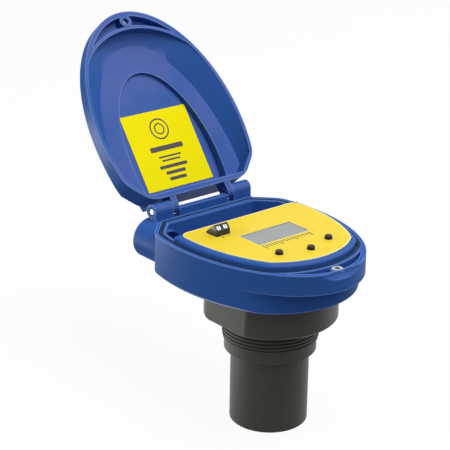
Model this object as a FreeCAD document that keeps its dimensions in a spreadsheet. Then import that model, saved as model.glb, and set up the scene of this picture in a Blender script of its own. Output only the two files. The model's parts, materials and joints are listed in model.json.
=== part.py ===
import FreeCAD, Part
import os
import re
import Sketcher

# Ultrasonic level transmitter.
# Frame: +Z up, -Y towards the lid latch, +Y towards the hinge, millimetres.
# The origin is on the axis of the pipe thread, at the underside of the flange.
# The lid is built closed and then turned open about its hinge.

SIZES = [
    # Transducer moulding
    ("thread_radius", 29.28, "pitch radius of the 2 inch pipe thread"),
    ("thread_length", 14.56, "length of the thread below the flange"),
    ("collar_radius", 28.44, "plain collar under the thread"),
    ("collar_length", 7.25, "height of the collar"),
    ("barrel_radius", 24.27, "transducer barrel"),
    ("barrel_length", 48.6, "barrel below the collar"),
    ("barrel_edge", 0.8, "chamfer at the barrel's end"),
    ("barrel_wall", 3.2, "wall of the barrel"),
    ("window_thickness", 3.0, "sounding face at the barrel's end"),
    ("flange_radius", 41.16, "round of the wrench flange"),
    ("flange_height", 22.3, "flange, from the thread to the housing"),
    ("flange_edge", 1.2, "chamfer under the flange"),
    ("flats_width", 73.8, "distance across the two wrench flats"),
    ("neck_radius", 18.0, "threaded neck through the housing floor"),
    ("neck_height", 13.0, "neck above the flange"),
    ("neck_bore", 13.5, "radius of the wire way through the neck"),
    ("seal_radius", 30.0, "middle radius of the body seal"),
    ("seal_width", 3.0, "flat sealing ring"),
    ("seal_thickness", 2.2, "flat sealing ring"),
    ("seal_side_room", 0.3, "room beside the seal in its groove"),
    ("nut_flats", 46.0, "retaining nut, across flats"),
    ("nut_height", 7.0, "height of the retaining nut"),
    ("thread_fit", 0.15, "radial play of nut and housing on the neck"),
    # Acoustic stack
    ("stack_fit", 0.1, "radial play of the stack in the barrel"),
    ("matching_thickness", 4.0, "matching layer"),
    ("piezo_radius", 18.0, "piezo disc"),
    ("piezo_thickness", 6.0, "piezo disc"),
    ("damping_length", 24.0, "damping block behind the disc"),
    ("lead_radius", 0.7, "insulated lead"),
    ("lead_spacing", 6.0, "distance between the two leads"),
    # Plan outline: an ellipse cut off straight behind, with slanted corners
    ("half_width", 55.2, "half the width of the rim"),
    ("half_length", 82.5, "long half axis of the rim's ellipse"),
    ("egg_centre", 20.0, "ellipse centre behind the thread axis"),
    ("rear_edge", 64.5, "straight rear edge behind the thread axis"),
    ("corner_cut", 12.84, "slanted rear corners, cut back from a square corner"),
    ("corner_distance", "=(half_width + rear_edge) / sqrt(2) - corner_cut",
     "thread axis to the slanted rear corners"),
    ("corner_round", 16.0, "rounding of the rear corners"),
    ("nose_inset", 1.8, "round front of the deck, less than half the width"),
    ("nose_gap", 13.7, "tip of the rim to the front of the deck"),
    ("nose_radius", "=half_width - nose_inset", "round front of the deck"),
    ("nose_centre", "=nose_radius - half_length + egg_centre + nose_gap", "centre of that round"),
    ("cut_reach", 150.0, "reach of cuts past the outline"),
    # Housing
    ("housing_height", 25.9, "floor to rim"),
    ("foot_chamfer", 1.6, "chamfer round the foot of the housing"),
    ("floor_thickness", 3.0, "housing floor"),
    ("rim_width", 2.4, "flat land on the rim"),
    ("tip_wall", 3.4, "outer wall at the tip"),
    ("rear_land", 0.8, "rim behind the gasket along the hinge"),
    ("belly_radius", 52.5, "round lower front"),
    ("belly_height", 13.0, "lower front, up to the crease"),
    ("belly_rise", 0.6, "rise of the overhang's underside"),
    ("belly_reach", 11.0, "depth of the overhang's underside"),
    ("belly_angle", 150.0, "sweep of the lower front"),
    ("gasket_width", 2.8, "lid gasket"),
    ("channel_depth", 3.4, "gasket channel below the rim"),
    ("gasket_fit", 0.45, "play of the gasket in its channel"),
    ("gasket_rise", 0.15, "gasket above the rim"),
    ("lip_width", 1.6, "thin wall inside the gasket channel"),
    ("lip_drop", 1.5, "top of that wall below the rim"),
    ("partition_wall", 2.2, "wall between electronics and wiring well"),
    ("tip_pocket_depth", 8.0, "crescent pocket at the tip"),
    ("conduit_offset", 36.0, "conduit entry left of the middle"),
    ("conduit_radius", 12.9, "boss round the conduit entry"),
    ("conduit_length", 10.0, "boss behind the rear edge"),
    ("conduit_bore", 9.2, "bore for a half inch pipe thread"),
    ("conduit_depth", 20.0, "bore in front of the rear edge"),
    ("scoop_radius", 5.6, "thumb scoop at the tip"),
    ("scoop_land", 0.8, "land left inside the scoop"),
    ("scoop_length", 40.0, "length of the scoop's cut"),
    ("latch_share", 0.48, "lid screw between tip and deck, as a share of that gap"),
    ("latch_distance", "=half_length - egg_centre - latch_share * nose_gap", "lid screw in front of the thread axis"),
    ("insert_boss", 4.4, "boss round the insert"),
    ("insert_radius", 3.0, "body of the insert"),
    ("insert_flange", 3.3, "head of the insert"),
    ("insert_head", 0.8, "thickness of that head"),
    ("insert_length", 6.5, "insert below its head"),
    ("insert_bore", 1.65, "tapped hole in the insert"),
    ("insert_drop", 0.5, "top of the insert below the rim"),
    ("insert_room", 0.1, "room round the head of the insert"),
    # Hinge
    ("hinge_distance", 69.5, "hinge axis behind the thread axis"),
    ("hinge_rise", 5.25, "hinge axis above the rim"),
    ("knuckle_radius", 4.5, "outside of the knuckles"),
    ("knuckle_end", 38.6, "outer end of the knuckles"),
    ("knuckle_start", 24.6, "inner end of the housing's knuckles"),
    ("arm_start", 19.8, "inner face of the lid's arms"),
    ("hinge_gap", 0.35, "side play between arms and knuckles"),
    ("web_drop", 9.0, "knuckle web down the rear wall"),
    ("bar_depth", 4.0, "bar between the lid's arms"),
    ("bar_drop", 0.25, "top of that bar below the hinge axis"),
    ("shelf_reach", 5.8, "shelf under the hinge, behind the rear edge"),
    ("shelf_gap", 1.05, "that shelf below the knuckles"),
    ("pin_radius", 1.6, "hinge pin"),
    ("pin_fit", 0.05, "running clearance of the pin in the lid"),
    ("pin_recess", 0.4, "pin end inside the knuckle's face"),
    ("pin_seat", 2.7, "sunk seat round the pin's end"),
    ("pin_seat_depth", 1.2, "depth of that seat"),
    # Lid
    ("lid_gap", 0.3, "parting line between lid and rim"),
    ("lid_open_angle", 130.0, "how far the lid stands open"),
    ("lid_rim_width", 2.2, "land on the lid's edge"),
    ("lid_rear_gap", 0.5, "lid's rear edge in front of the housing's"),
    ("lid_rear_land", 3.4, "land on the lid's rear edge"),
    ("lid_wall", 2.5, "wall of the lid"),
    ("lid_height", 13.3, "edge to crown"),
    ("crown_inset", 6.4, "flat of the crown inside the lid's sides"),
    ("crown_half_length", 89.5, "long half axis of the crown's ellipse"),
    ("crown_centre", 45.0, "crown's ellipse behind the thread axis"),
    ("shoulder_flare", 12.8, "sloped shoulder, widest past the lid's sides"),
    ("shoulder_half_length", 86.0, "long half axis at the foot of the shoulder"),
    ("shoulder_centre", 0.0, "foot of the shoulder behind the thread axis"),
    ("bowl_flare", -0.65, "sloped inside, widest past the lid's sides"),
    ("bowl_half_length", 84.0, "long half axis at the foot of the sloped inside"),
    ("bowl_centre", 14.2, "foot of the sloped inside behind the thread axis"),
    ("arch_half_width", 33.4, "arched recess under the crown"),
    ("arch_half_length", 63.5, "arched recess"),
    ("arch_centre", 40.0, "arch ellipse behind the thread axis"),
    ("arch_step", 2.3, "depth of the recess at its front"),
    ("arch_slope", 3.4, "slope of the recess in degrees"),
    ("arch_wall", 2.3, "wall round the recess"),
    ("lid_nose_room", 1.2, "room between deck and lid at the nose"),
    ("lid_lip", 2.0, "inner wall of the lid at the tip"),
    ("lid_pocket_depth", 6.0, "crescent pocket in the lid's tip"),
    ("lid_boss", 4.25, "boss round the lid screw"),
    ("lid_boss_height", 8.0, "boss, edge to screw seat"),
    ("screw_hole", 2.1, "hole for the lid screw"),
    ("screw_seat", 4.6, "seat for the screw head"),
    ("lid_screw_radius", 1.9, "captive lid screw"),
    ("lid_screw_drop", 3.0, "end of that screw above the lid's edge, drawn back"),
    ("lid_screw_head", 3.8, "head of the lid screw"),
    ("lid_screw_head_height", 1.6, "head of the lid screw"),
    ("lid_screw_slot", 1.0, "driver slot of the lid screw"),
    ("label_width", 52.0, "label in the lid"),
    ("label_length", 52.0, "label in the lid"),
    ("label_distance", 2.5, "front edge of the label behind the thread axis"),
    ("label_shift", 0.8, "label to the right of the middle"),
    ("label_thickness", 0.3, "label"),
    # Deck and panel
    ("deck_rise", 3.7, "deck above the rim"),
    ("deck_plate", 2.5, "plate of the deck"),
    ("deck_skirt", 2.0, "edge of the deck"),
    ("deck_round", 2.2, "rounding of the deck's edge"),
    ("deck_rear", 33.2, "rear edge of the deck behind the thread axis"),
    ("deck_fit", 0.1, "play of the deck beside the channel"),
    ("overlay_land", 3.0, "blue edge round the yellow film"),
    ("overlay_rear_land", 1.5, "the same at the rear edge"),
    ("overlay_thickness", 0.5, "yellow film"),
    ("overlay_corner", 6.0, "rounding of the film's rear corners"),
    ("window_width", 39.6, "display window"),
    ("window_depth", 18.4, "display window"),
    ("window_distance", 1.4, "window centre in front of the thread axis"),
    ("window_ledge", 1.6, "ledge under the pane"),
    ("pane_thickness", 1.5, "display pane"),
    ("pane_fit", 0.1, "play round the pane"),
    # Board
    ("board_drop", 6.6, "underside of the board below the rim"),
    ("board_height", "=housing_height - floor_thickness - board_drop", "board above the housing floor"),
    ("board_thickness", 1.6, "circuit board"),
    ("board_fit", 0.6, "play round the board"),
    ("post_radius", 3.2, "posts under the board"),
    ("rear_post_side", 40.0, "rear posts from the middle"),
    ("rear_post_distance", 18.0, "rear posts behind the thread axis"),
    ("front_post_side", 33.0, "front posts from the middle"),
    ("front_post_distance", 22.0, "front posts in front of the thread axis"),
    ("screw_radius", 1.5, "board screws"),
    ("screw_head", 2.8, "head radius of the board screws"),
    ("screw_head_height", 2.0, "head of the board screws"),
    ("screw_depth", 8.0, "board screws in their posts"),
    ("module_border", 3.0, "display module past the window"),
    ("module_gap", 0.4, "display module below the deck"),
    ("transformer_width", 16.0, "drive transformer"),
    ("transformer_height", 7.0, "drive transformer"),
    ("transformer_side", 32.0, "drive transformer from the middle"),
    ("capacitor_radius", 4.0, "capacitors"),
    ("capacitor_height", 8.0, "capacitors"),
    ("capacitor_side", 30.0, "capacitors from the middle"),
    ("capacitor_spacing", 11.0, "between the capacitors"),
    ("chip_width", 9.0, "processor"),
    ("chip_height", 1.6, "processor"),
    ("chip_side", 34.0, "processor from the middle"),
    # Buttons and switches
    ("button_radius", 2.3, "button"),
    ("button_rise", 2.2, "button above the film"),
    ("button_edge", 0.4, "chamfer of the button"),
    ("button_fit", 0.3, "play round the button"),
    ("button_flange", 3.3, "flange that keeps the button in"),
    ("flange_thickness", 1.0, "that flange"),
    ("flange_gap", 0.4, "that flange below the deck"),
    ("stem_radius", 1.4, "button stem"),
    ("stem_depth", 1.6, "stem inside the switch"),
    ("side_button_side", 19.6, "outer buttons from the middle"),
    ("side_button_setback", 21.3, "outer buttons behind the front of the deck"),
    ("middle_button_setback", 15.4, "middle button behind the front of the deck"),
    ("side_button_distance", "=nose_radius - nose_centre - side_button_setback", "from the thread axis"),
    ("middle_button_distance", "=nose_radius - nose_centre - middle_button_setback", "from the thread axis"),
    ("switch_width", 6.0, "tactile switch"),
    ("switch_height", 3.6, "tactile switch"),
    ("switch_well", 3.0, "depth of the switch's well"),
    # Terminal block
    ("terminal_side", 26.5, "terminal left of the middle"),
    ("terminal_front", 14.7, "front of the terminal behind the thread axis"),
    ("terminal_width", 10.2, "two-pole terminal"),
    ("terminal_depth", 9.8, "two-pole terminal"),
    ("terminal_front_height", 3.4, "upright front above the film"),
    ("terminal_slope_run", 2.6, "depth of the slanted front"),
    ("terminal_slope_rise", 2.9, "height of the slanted front"),
    ("terminal_crown", 1.0, "ridge of the terminal"),
    ("terminal_rear_height", 0.8, "low rear edge above the film"),
    ("terminal_fit", 0.3, "play round the terminal"),
    ("terminal_pitch", 5.0, "between the two poles"),
    ("terminal_screw_radius", 1.5, "terminal screw"),
    ("terminal_screw_length", 2.4, "terminal screw"),
    ("terminal_screw_drop", 0.3, "screw below the slanted front"),
    ("terminal_well_fit", 0.1, "play round the terminal screw"),
    ("screw_slot_width", 0.5, "driver slot"),
    ("screw_slot_depth", 0.5, "driver slot"),
    ("wire_entry_width", 3.2, "wire entry"),
    ("wire_entry_height", 2.5, "wire entry"),
    ("wire_entry_depth", 5.2, "wire entry"),
    ("wire_entry_rise", 0.4, "wire entry above the film"),
    ("clamp_thickness", 0.6, "wire clamp"),
    ("clamp_length", 3.5, "wire clamp"),
]
ALIASES = {alias for alias, value, note in SIZES}

doc = FreeCAD.newDocument("level_transmitter")
sheet = doc.addObject("Spreadsheet::Sheet", "Sizes")
for row, (alias, size, note) in enumerate(SIZES, start=1):
    sheet.set("A%d" % row, str(size))
    sheet.setAlias("A%d" % row, alias)
    sheet.set("B%d" % row, note)
doc.recompute()

# Levels and places that several pieces share, as expressions of the sizes
RIM = "(flange_height + housing_height)"
FLOOR = "(flange_height + floor_thickness)"
LID = "(flange_height + housing_height + lid_gap)"
HINGE = "(flange_height + housing_height + hinge_rise)"
TIP = "(half_length - egg_centre)"
DECK_SEAT = "(flange_height + housing_height - lip_drop)"
DECK_TOP = "(flange_height + housing_height + deck_rise)"
DECK_UNDER = "(flange_height + housing_height + deck_rise - deck_plate)"
FILM_TOP = "(flange_height + housing_height + deck_rise + overlay_thickness)"
BOARD = "(flange_height + floor_thickness + board_height)"
BOARD_TOP = "(flange_height + floor_thickness + board_height + board_thickness)"
CHANNEL_INNER = "(rim_width + gasket_width)"
CHANNEL_REAR = "(rear_edge - rear_land)"
WELL_INSET = "(rim_width + gasket_width + lip_width)"
BARREL_END = "(0 - thread_length - collar_length - barrel_length)"
CONDUIT_LEVEL = "(flange_height + housing_height / 2)"
LID_REAR = "(rear_edge - lid_rear_gap)"
SIDES = (("left", "-1"), ("right", "1"))

pieces = []


def bound(text):
    """Write an expression of size names the way the document reads it."""
    def qualify(word):
        return "Sizes." + word.group() if word.group() in ALIASES else word.group()
    return re.sub(r"[a-z_]+", qualify, text)


def value(text):
    """Work out an expression of size names."""
    return float(sheet.evalExpression(text))


def bind(item, name, text):
    item.setExpression(name, bound(text))


def piece(label, item):
    """Hand a finished sub-part over under its own name."""
    item.Label = label
    pieces.append(item)
    return item


# Sketch helpers

def new_body(name):
    return doc.addObject("PartDesign::Body", name)


def new_sketch(body, name, role="XY_Plane", offset="0"):
    """Attach an empty sketch to one of the body's own origin planes."""
    sketch = body.newObject("Sketcher::SketchObject", name)
    support = next(item for item in body.Origin.OriginFeatures if item.Role == role)
    sketch.AttachmentSupport = (support, "")
    sketch.MapMode = "FlatFace"
    bind(sketch, "AttachmentOffset.Base.z", offset)
    return sketch


def dimension(sketch, kind, text, *where):
    index = sketch.addConstraint(Sketcher.Constraint(kind, *where, value(text)))
    bind(sketch, "Constraints[%d]" % index, text)


def hold_point(sketch, geometry, end, x, y):
    dimension(sketch, "DistanceX", x, -1, 1, geometry, end)
    dimension(sketch, "DistanceY", y, -1, 1, geometry, end)


def polygon(sketch, corners):
    """A closed run of straight lines through corners given as expressions."""
    points = [FreeCAD.Vector(value(x), value(y), 0) for x, y in corners]
    first = sketch.GeometryCount
    count = len(points)
    for index in range(count):
        sketch.addGeometry(Part.LineSegment(points[index], points[(index + 1) % count]))
    for index in range(count):
        following = first + (index + 1) % count
        sketch.addConstraint(Sketcher.Constraint("Coincident", first + index, 2, following, 1))
        hold_point(sketch, first + index, 1, *corners[index])


def rectangle(sketch, left, right, low, high):
    polygon(sketch, [(left, low), (right, low), (right, high), (left, high)])


def circle(sketch, x, y, radius):
    centre = FreeCAD.Vector(value(x), value(y), 0)
    index = sketch.addGeometry(Part.Circle(centre, FreeCAD.Vector(0, 0, 1), value(radius)))
    dimension(sketch, "Radius", radius, index)
    hold_point(sketch, index, 3, x, y)


def long_ellipse(sketch, half_wide, half_long, centre):
    """An ellipse with its long axis along Y and its centre on the middle line."""
    middle = FreeCAD.Vector(0, value(centre), 0)
    rear_end = middle + FreeCAD.Vector(0, value(half_long), 0)
    side = middle - FreeCAD.Vector(value(half_wide), 0, 0)
    curve = sketch.addGeometry(Part.Ellipse(rear_end, side, middle))
    sketch.exposeInternalGeometry(curve)
    long_axis = curve + 1
    short_axis = curve + 2
    dimension(sketch, "Distance", "2 * (%s)" % half_long, long_axis)
    dimension(sketch, "Distance", "2 * (%s)" % half_wide, short_axis)
    sketch.addConstraint(Sketcher.Constraint("Vertical", long_axis))
    hold_point(sketch, curve, 3, "0", centre)


def pad(body, sketch, length, name, midplane=False):
    feature = body.newObject("PartDesign::Pad", name)
    feature.Profile = sketch
    feature.Midplane = midplane
    bind(feature, "Length", length)
    return feature


def cut_through(body, sketch, name):
    """Cut a profile right through the body, both ways from its plane."""
    feature = body.newObject("PartDesign::Pocket", name)
    feature.Profile = sketch
    feature.Type = "ThroughAll"
    feature.Midplane = True
    return feature


def revolve(body, sketch, name, angle="360"):
    """Turn a profile about the upright axis, evenly to both sides of its plane."""
    feature = body.newObject("PartDesign::Revolution", name)
    feature.Profile = sketch
    feature.ReferenceAxis = (sketch, ["V_Axis"])
    feature.Midplane = True
    bind(feature, "Angle", angle)
    return feature


def edge_feature(body, kind, name, chosen):
    """Dress the edges of the body that a test picks out."""
    doc.recompute()
    base = body.Tip
    names = ["Edge%d" % (index + 1) for index, edge in enumerate(base.Shape.Edges) if chosen(edge)]
    feature = body.newObject(kind, name)
    feature.Base = (base, names)
    return feature


def fillet(body, radius, name, chosen):
    feature = edge_feature(body, "PartDesign::Fillet", name, chosen)
    bind(feature, "Radius", radius)
    return feature


def is_upright(edge):
    """True for a straight edge along Z."""
    along = edge.Vertexes[-1].Point - edge.Vertexes[0].Point
    return abs(abs(along.z) - edge.Length) < 1e-4 and edge.Length > 1e-3


def round_corners(body, radius, name):
    """Round the upright edges at the rear of a block."""
    middle = value("egg_centre")
    return fillet(body, radius, name, lambda edge: is_upright(edge) and edge.BoundBox.YMin > middle)


# Solids and booleans

def place(item, at, turn=None):
    if turn:
        item.Placement = FreeCAD.Placement(FreeCAD.Vector(), FreeCAD.Rotation(*turn))
    for axis, text in zip("xyz", at):
        bind(item, "Placement.Base." + axis, text)
    return item


ALONG_X = (FreeCAD.Vector(0, 1, 0), 90)
ALONG_Y = (FreeCAD.Vector(1, 0, 0), -90)


def cylinder(name, radius, length, at, turn=None):
    item = doc.addObject("Part::Cylinder", name)
    bind(item, "Radius", radius)
    bind(item, "Height", length)
    return place(item, at, turn)


def box(name, size, at):
    item = doc.addObject("Part::Box", name)
    for side, text in zip(("Length", "Width", "Height"), size):
        bind(item, side, text)
    return place(item, at)


def fuse(name, shapes):
    item = doc.addObject("Part::MultiFuse", name)
    item.Shapes = shapes
    return item


def common(name, shapes):
    item = doc.addObject("Part::MultiCommon", name)
    item.Shapes = shapes
    return item


def cut(name, base, tools):
    item = doc.addObject("Part::Cut", name)
    item.Base = base
    item.Tool = tools[0] if len(tools) == 1 else fuse(name + "_tools", tools)
    return item


def group(name, shapes):
    item = doc.addObject("Part::Compound", name)
    item.Links = shapes
    return item


# Plan outlines

def egg(sketch, inset):
    long_ellipse(sketch, "half_width - %s" % inset, "half_length - %s" % inset, "egg_centre")


def trim_rear(body, name, inset, rear):
    """Cut off what lies behind the rear edge and its slanted corners."""
    reach = "(corner_distance - %s) * sqrt(2)" % inset
    sketch = new_sketch(body, name + "_rear_outline")
    polygon(sketch, [
        ("%s - (%s)" % (reach, rear), rear),
        ("cut_reach", "%s - cut_reach" % reach),
        ("cut_reach", "cut_reach"),
        ("0 - cut_reach", "cut_reach"),
        ("0 - cut_reach", "%s - cut_reach" % reach),
        ("(%s) - %s" % (rear, reach), rear),
    ])
    return cut_through(body, sketch, name + "_rear")


def nose_outline(sketch, radius, far):
    """A half round towards the tip, closed by a straight run on one side of it."""
    half = value(radius)
    reach = "cut_reach" if far == "rear" else "0 - cut_reach"
    side = radius if far == "rear" else "cut_reach"
    middle = FreeCAD.Vector(0, value("nose_centre"), 0)
    left = middle - FreeCAD.Vector(half, 0, 0)
    right = middle + FreeCAD.Vector(half, 0, 0)
    low = middle - FreeCAD.Vector(0, half, 0)
    arc = sketch.addGeometry(Part.Arc(left, low, right))
    corners = [("0 - (%s)" % side, "nose_centre"), ("0 - (%s)" % side, reach), (side, reach), (side, "nose_centre")]
    points = [FreeCAD.Vector(value(x), value(y), 0) for x, y in corners]
    run = [left] + points + [right] if far != "rear" else points
    first = sketch.GeometryCount
    for index in range(len(run) - 1):
        sketch.addGeometry(Part.LineSegment(run[index], run[index + 1]))
    last = sketch.GeometryCount - 1
    for index in range(first, last):
        sketch.addConstraint(Sketcher.Constraint("Coincident", index, 2, index + 1, 1))
    sketch.addConstraint(Sketcher.Constraint("Coincident", arc, 1, first, 1))
    sketch.addConstraint(Sketcher.Constraint("Coincident", arc, 2, last, 2))
    hold_point(sketch, arc, 3, "0", "nose_centre")
    dimension(sketch, "Radius", radius, arc)
    dimension(sketch, "DistanceY", "nose_centre", -1, 1, arc, 1)
    dimension(sketch, "DistanceY", "nose_centre", -1, 1, arc, 2)
    if far == "rear":
        hold_point(sketch, first, 2, *corners[1])
        hold_point(sketch, last, 1, *corners[2])
    else:
        for index, corner in enumerate(corners):
            hold_point(sketch, first + index, 2, *corner)


def trim_nose(body, name, radius):
    """Cut off what lies in front of the round nose."""
    sketch = new_sketch(body, name + "_nose_outline")
    nose_outline(sketch, radius, "front")
    return cut_through(body, sketch, name + "_nose")


def egg_prism(name, inset, bottom, height, rear, nose=None):
    """An upright block with the plan outline drawn in by an inset."""
    body = new_body(name)
    sketch = new_sketch(body, name + "_outline", offset=bottom)
    egg(sketch, inset)
    pad(body, sketch, height, name + "_block")
    trim_rear(body, name, inset, rear)
    if nose:
        trim_nose(body, name, nose)
    return body


def crescent(name, inset, bottom, height, nose):
    """The space between the outline and a round nose, at the tip only."""
    body = new_body(name)
    sketch = new_sketch(body, name + "_outline", offset=bottom)
    egg(sketch, inset)
    pad(body, sketch, height, name + "_block")
    behind = new_sketch(body, name + "_behind")
    nose_outline(behind, nose, "rear")
    cut_through(body, behind, name + "_nose")
    return body


# Transducer

def make_transducer_body():
    """One moulding: barrel, collar, thread, flange with two flats, and the neck."""
    body = new_body("transducer_body")
    collar_end = "0 - thread_length - collar_length"
    profile = new_sketch(body, "transducer_profile", "XZ_Plane")
    polygon(profile, [
        ("0", BARREL_END),
        ("barrel_radius - barrel_edge", BARREL_END),
        ("barrel_radius", "%s + barrel_edge" % BARREL_END),
        ("barrel_radius", collar_end),
        ("collar_radius", collar_end),
        ("collar_radius", "0 - thread_length"),
        ("thread_radius", "0 - thread_length"),
        ("thread_radius", "0"),
        ("flange_radius - flange_edge", "0"),
        ("flange_radius", "flange_edge"),
        ("flange_radius", "flange_height"),
        ("neck_radius", "flange_height"),
        ("neck_radius", "flange_height + neck_height"),
        ("neck_bore", "flange_height + neck_height"),
        ("neck_bore", "0 - thread_length"),
        ("barrel_radius - barrel_wall", collar_end),
        ("barrel_radius - barrel_wall", "%s + window_thickness" % BARREL_END),
        ("0", "%s + window_thickness" % BARREL_END),
    ])
    revolve(body, profile, "transducer_turned")
    for side, sign in SIDES:
        flat = new_sketch(body, "flat_outline_" + side)
        near = "%s * flats_width / 2" % sign
        far = "%s * cut_reach" % sign
        rectangle(flat, near, far, "0 - cut_reach", "cut_reach")
        feature = body.newObject("PartDesign::Pocket", "flat_" + side)
        feature.Profile = flat
        feature.Reversed = True
        bind(feature, "Length", "flange_height")
    groove = new_sketch(body, "seal_groove_outline", "XZ_Plane")
    half = "(seal_width / 2 + seal_side_room)"
    rectangle(groove, "seal_radius - %s" % half, "seal_radius + %s" % half,
              "flange_height - seal_thickness", "flange_height + seal_thickness")
    ring = body.newObject("PartDesign::Groove", "seal_groove")
    ring.Profile = groove
    ring.ReferenceAxis = (groove, ["V_Axis"])
    ring.Angle = 360
    return piece("transducer_body", body)


def make_acoustic_stack():
    window = "(%s + window_thickness)" % BARREL_END
    bore = "barrel_radius - barrel_wall - stack_fit"
    piece("matching_layer", cylinder("matching_layer", bore, "matching_thickness", ("0", "0", window)))
    disc = "(%s + matching_thickness)" % window
    piece("piezo_disc", cylinder("piezo_disc", "piezo_radius", "piezo_thickness", ("0", "0", disc)))
    back = "(%s + piezo_thickness)" % disc
    piece("damping_block", cylinder("damping_block", bore, "damping_length", ("0", "0", back)))
    top = "(%s + damping_length)" % back
    leads = []
    for side, sign in SIDES:
        at = ("%s * lead_spacing / 2" % sign, "0", top)
        leads.append(cylinder("lead_" + side, "lead_radius", "%s - %s" % (BOARD, top), at))
    piece("transducer_leads", group("transducer_leads", leads))


def make_seal_and_nut():
    seal = new_body("body_seal")
    ring = new_sketch(seal, "seal_outline", offset="flange_height - seal_thickness")
    circle(ring, "0", "0", "seal_radius + seal_width / 2")
    circle(ring, "0", "0", "seal_radius - seal_width / 2")
    pad(seal, ring, "seal_thickness", "seal_ring")
    piece("body_seal", seal)
    nut = new_body("retaining_nut")
    sketch = new_sketch(nut, "nut_outline", offset=FLOOR)
    corner = "nut_flats / sqrt(3)"
    turns = [("%s * cos(%d)" % (corner, 60 * step), "%s * sin(%d)" % (corner, 60 * step)) for step in range(6)]
    polygon(sketch, turns)
    circle(sketch, "0", "0", "neck_radius + thread_fit")
    pad(nut, sketch, "nut_height", "nut_block")
    piece("retaining_nut", nut)


# Housing

def make_housing_form():
    """The outside: an egg with slanted rear corners, its lower front cut back to a round belly."""
    body = egg_prism("housing_form", "0", "flange_height", "housing_height", "rear_edge")
    round_corners(body, "corner_round", "housing_corners")
    base = value("flange_height")
    chamfer = edge_feature(body, "PartDesign::Chamfer", "housing_foot",
                           lambda edge: edge.BoundBox.ZMax < base + 1e-3)
    bind(chamfer, "Size", "foot_chamfer")
    belly = new_body("belly_cut")
    profile = new_sketch(belly, "belly_outline", "YZ_Plane")
    outer = "0 - belly_radius - belly_reach"
    polygon(profile, [
        ("0 - belly_radius", "flange_height - belly_height"),
        ("0 - belly_radius", "flange_height + belly_height"),
        (outer, "flange_height + belly_height + belly_rise"),
        (outer, "flange_height - belly_height"),
    ])
    revolve(belly, profile, "belly_turned", "belly_angle")
    return cut("housing_with_belly", body, [belly])


def hinge_web(name, start, end, outline):
    """A web along the hinge, carried by the rear wall."""
    low = "%s - web_drop" % RIM
    body = new_body(name)
    web = new_sketch(body, name + "_web_outline", "YZ_Plane", start)
    polygon(web, [("rear_edge - rim_width", low), ("rear_edge", low)] + outline)
    pad(body, web, "%s - (%s)" % (end, start), name + "_web")
    return body


def make_housing_hinge():
    """Two outer knuckles, a low bar between the lid's arms, and a shelf under them all."""
    front = "hinge_distance - knuckle_radius"
    items = []
    for side, start, end in (("left", "0 - knuckle_end", "0 - knuckle_start"), ("right", "knuckle_start", "knuckle_end")):
        body = hinge_web("knuckle_" + side, start, end, [
            ("hinge_distance + knuckle_radius", HINGE),
            (front, HINGE),
            (front, RIM),
            ("rear_edge - rim_width", RIM),
        ])
        knuckle = new_sketch(body, "knuckle_outline_" + side, "YZ_Plane", start)
        circle(knuckle, "hinge_distance", HINGE, "knuckle_radius")
        pad(body, knuckle, "%s - (%s)" % (end, start), "knuckle_round_" + side)
        items.append(body)
    half = "(arm_start - hinge_gap)"
    bar_top = "%s - bar_drop" % HINGE
    items.append(hinge_web("hinge_bar", "0 - %s" % half, half, [
        ("%s + bar_depth" % front, RIM),
        ("%s + bar_depth" % front, bar_top),
        (front, bar_top),
        (front, RIM),
        ("rear_edge - rim_width", RIM),
    ]))
    shelf_top = "%s - knuckle_radius - shelf_gap" % HINGE
    items.append(hinge_web("hinge_shelf", "0 - knuckle_end", "knuckle_end", [
        ("rear_edge + shelf_reach", shelf_top),
        ("rear_edge - rim_width", shelf_top),
    ]))
    return items


def make_housing_cavities():
    outer_nose = "nose_radius + gasket_width"
    recess = egg_prism("rim_recess", "rim_width", DECK_SEAT, "2 * lip_drop", "deck_rear", outer_nose)
    channel_bottom = "%s - channel_depth" % RIM
    outer = egg_prism("channel_outer", "rim_width", channel_bottom, "2 * channel_depth", CHANNEL_REAR, outer_nose)
    inner = egg_prism("channel_inner", CHANNEL_INNER, channel_bottom, "2 * channel_depth",
                      "%s - gasket_width" % CHANNEL_REAR, "nose_radius")
    channel = cut("gasket_channel", outer, [inner])
    compartment = egg_prism("compartment", WELL_INSET, FLOOR, "housing_height",
                            "deck_rear - partition_wall", "nose_radius - lip_width")
    well = egg_prism("wiring_well", WELL_INSET, FLOOR, "housing_height", "rear_edge - %s" % WELL_INSET)
    front = new_sketch(well, "well_front_outline")
    rectangle(front, "0 - cut_reach", "cut_reach", "0 - cut_reach", "deck_rear")
    cut_through(well, front, "well_front")
    tip = crescent("tip_pocket", "tip_wall", "%s - tip_pocket_depth" % RIM, "2 * tip_pocket_depth",
                   "nose_radius + gasket_width + lip_width")
    return [recess, channel, compartment, well, tip]


def make_thumb_scoop():
    """A cylinder laid across the tip that bites a hollow into the outer top edge."""
    return cylinder("thumb_scoop", "scoop_radius", "scoop_length", (
        "0 - scoop_length / 2",
        "tip_wall - scoop_land - scoop_radius - %s" % TIP,
        RIM,
    ), ALONG_X)


def post_places():
    """The four posts under the board: name, x and y."""
    for side, sign in SIDES:
        yield "rear_" + side, "%s * rear_post_side" % sign, "rear_post_distance"
        yield "front_" + side, "%s * front_post_side" % sign, "0 - front_post_distance"


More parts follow.
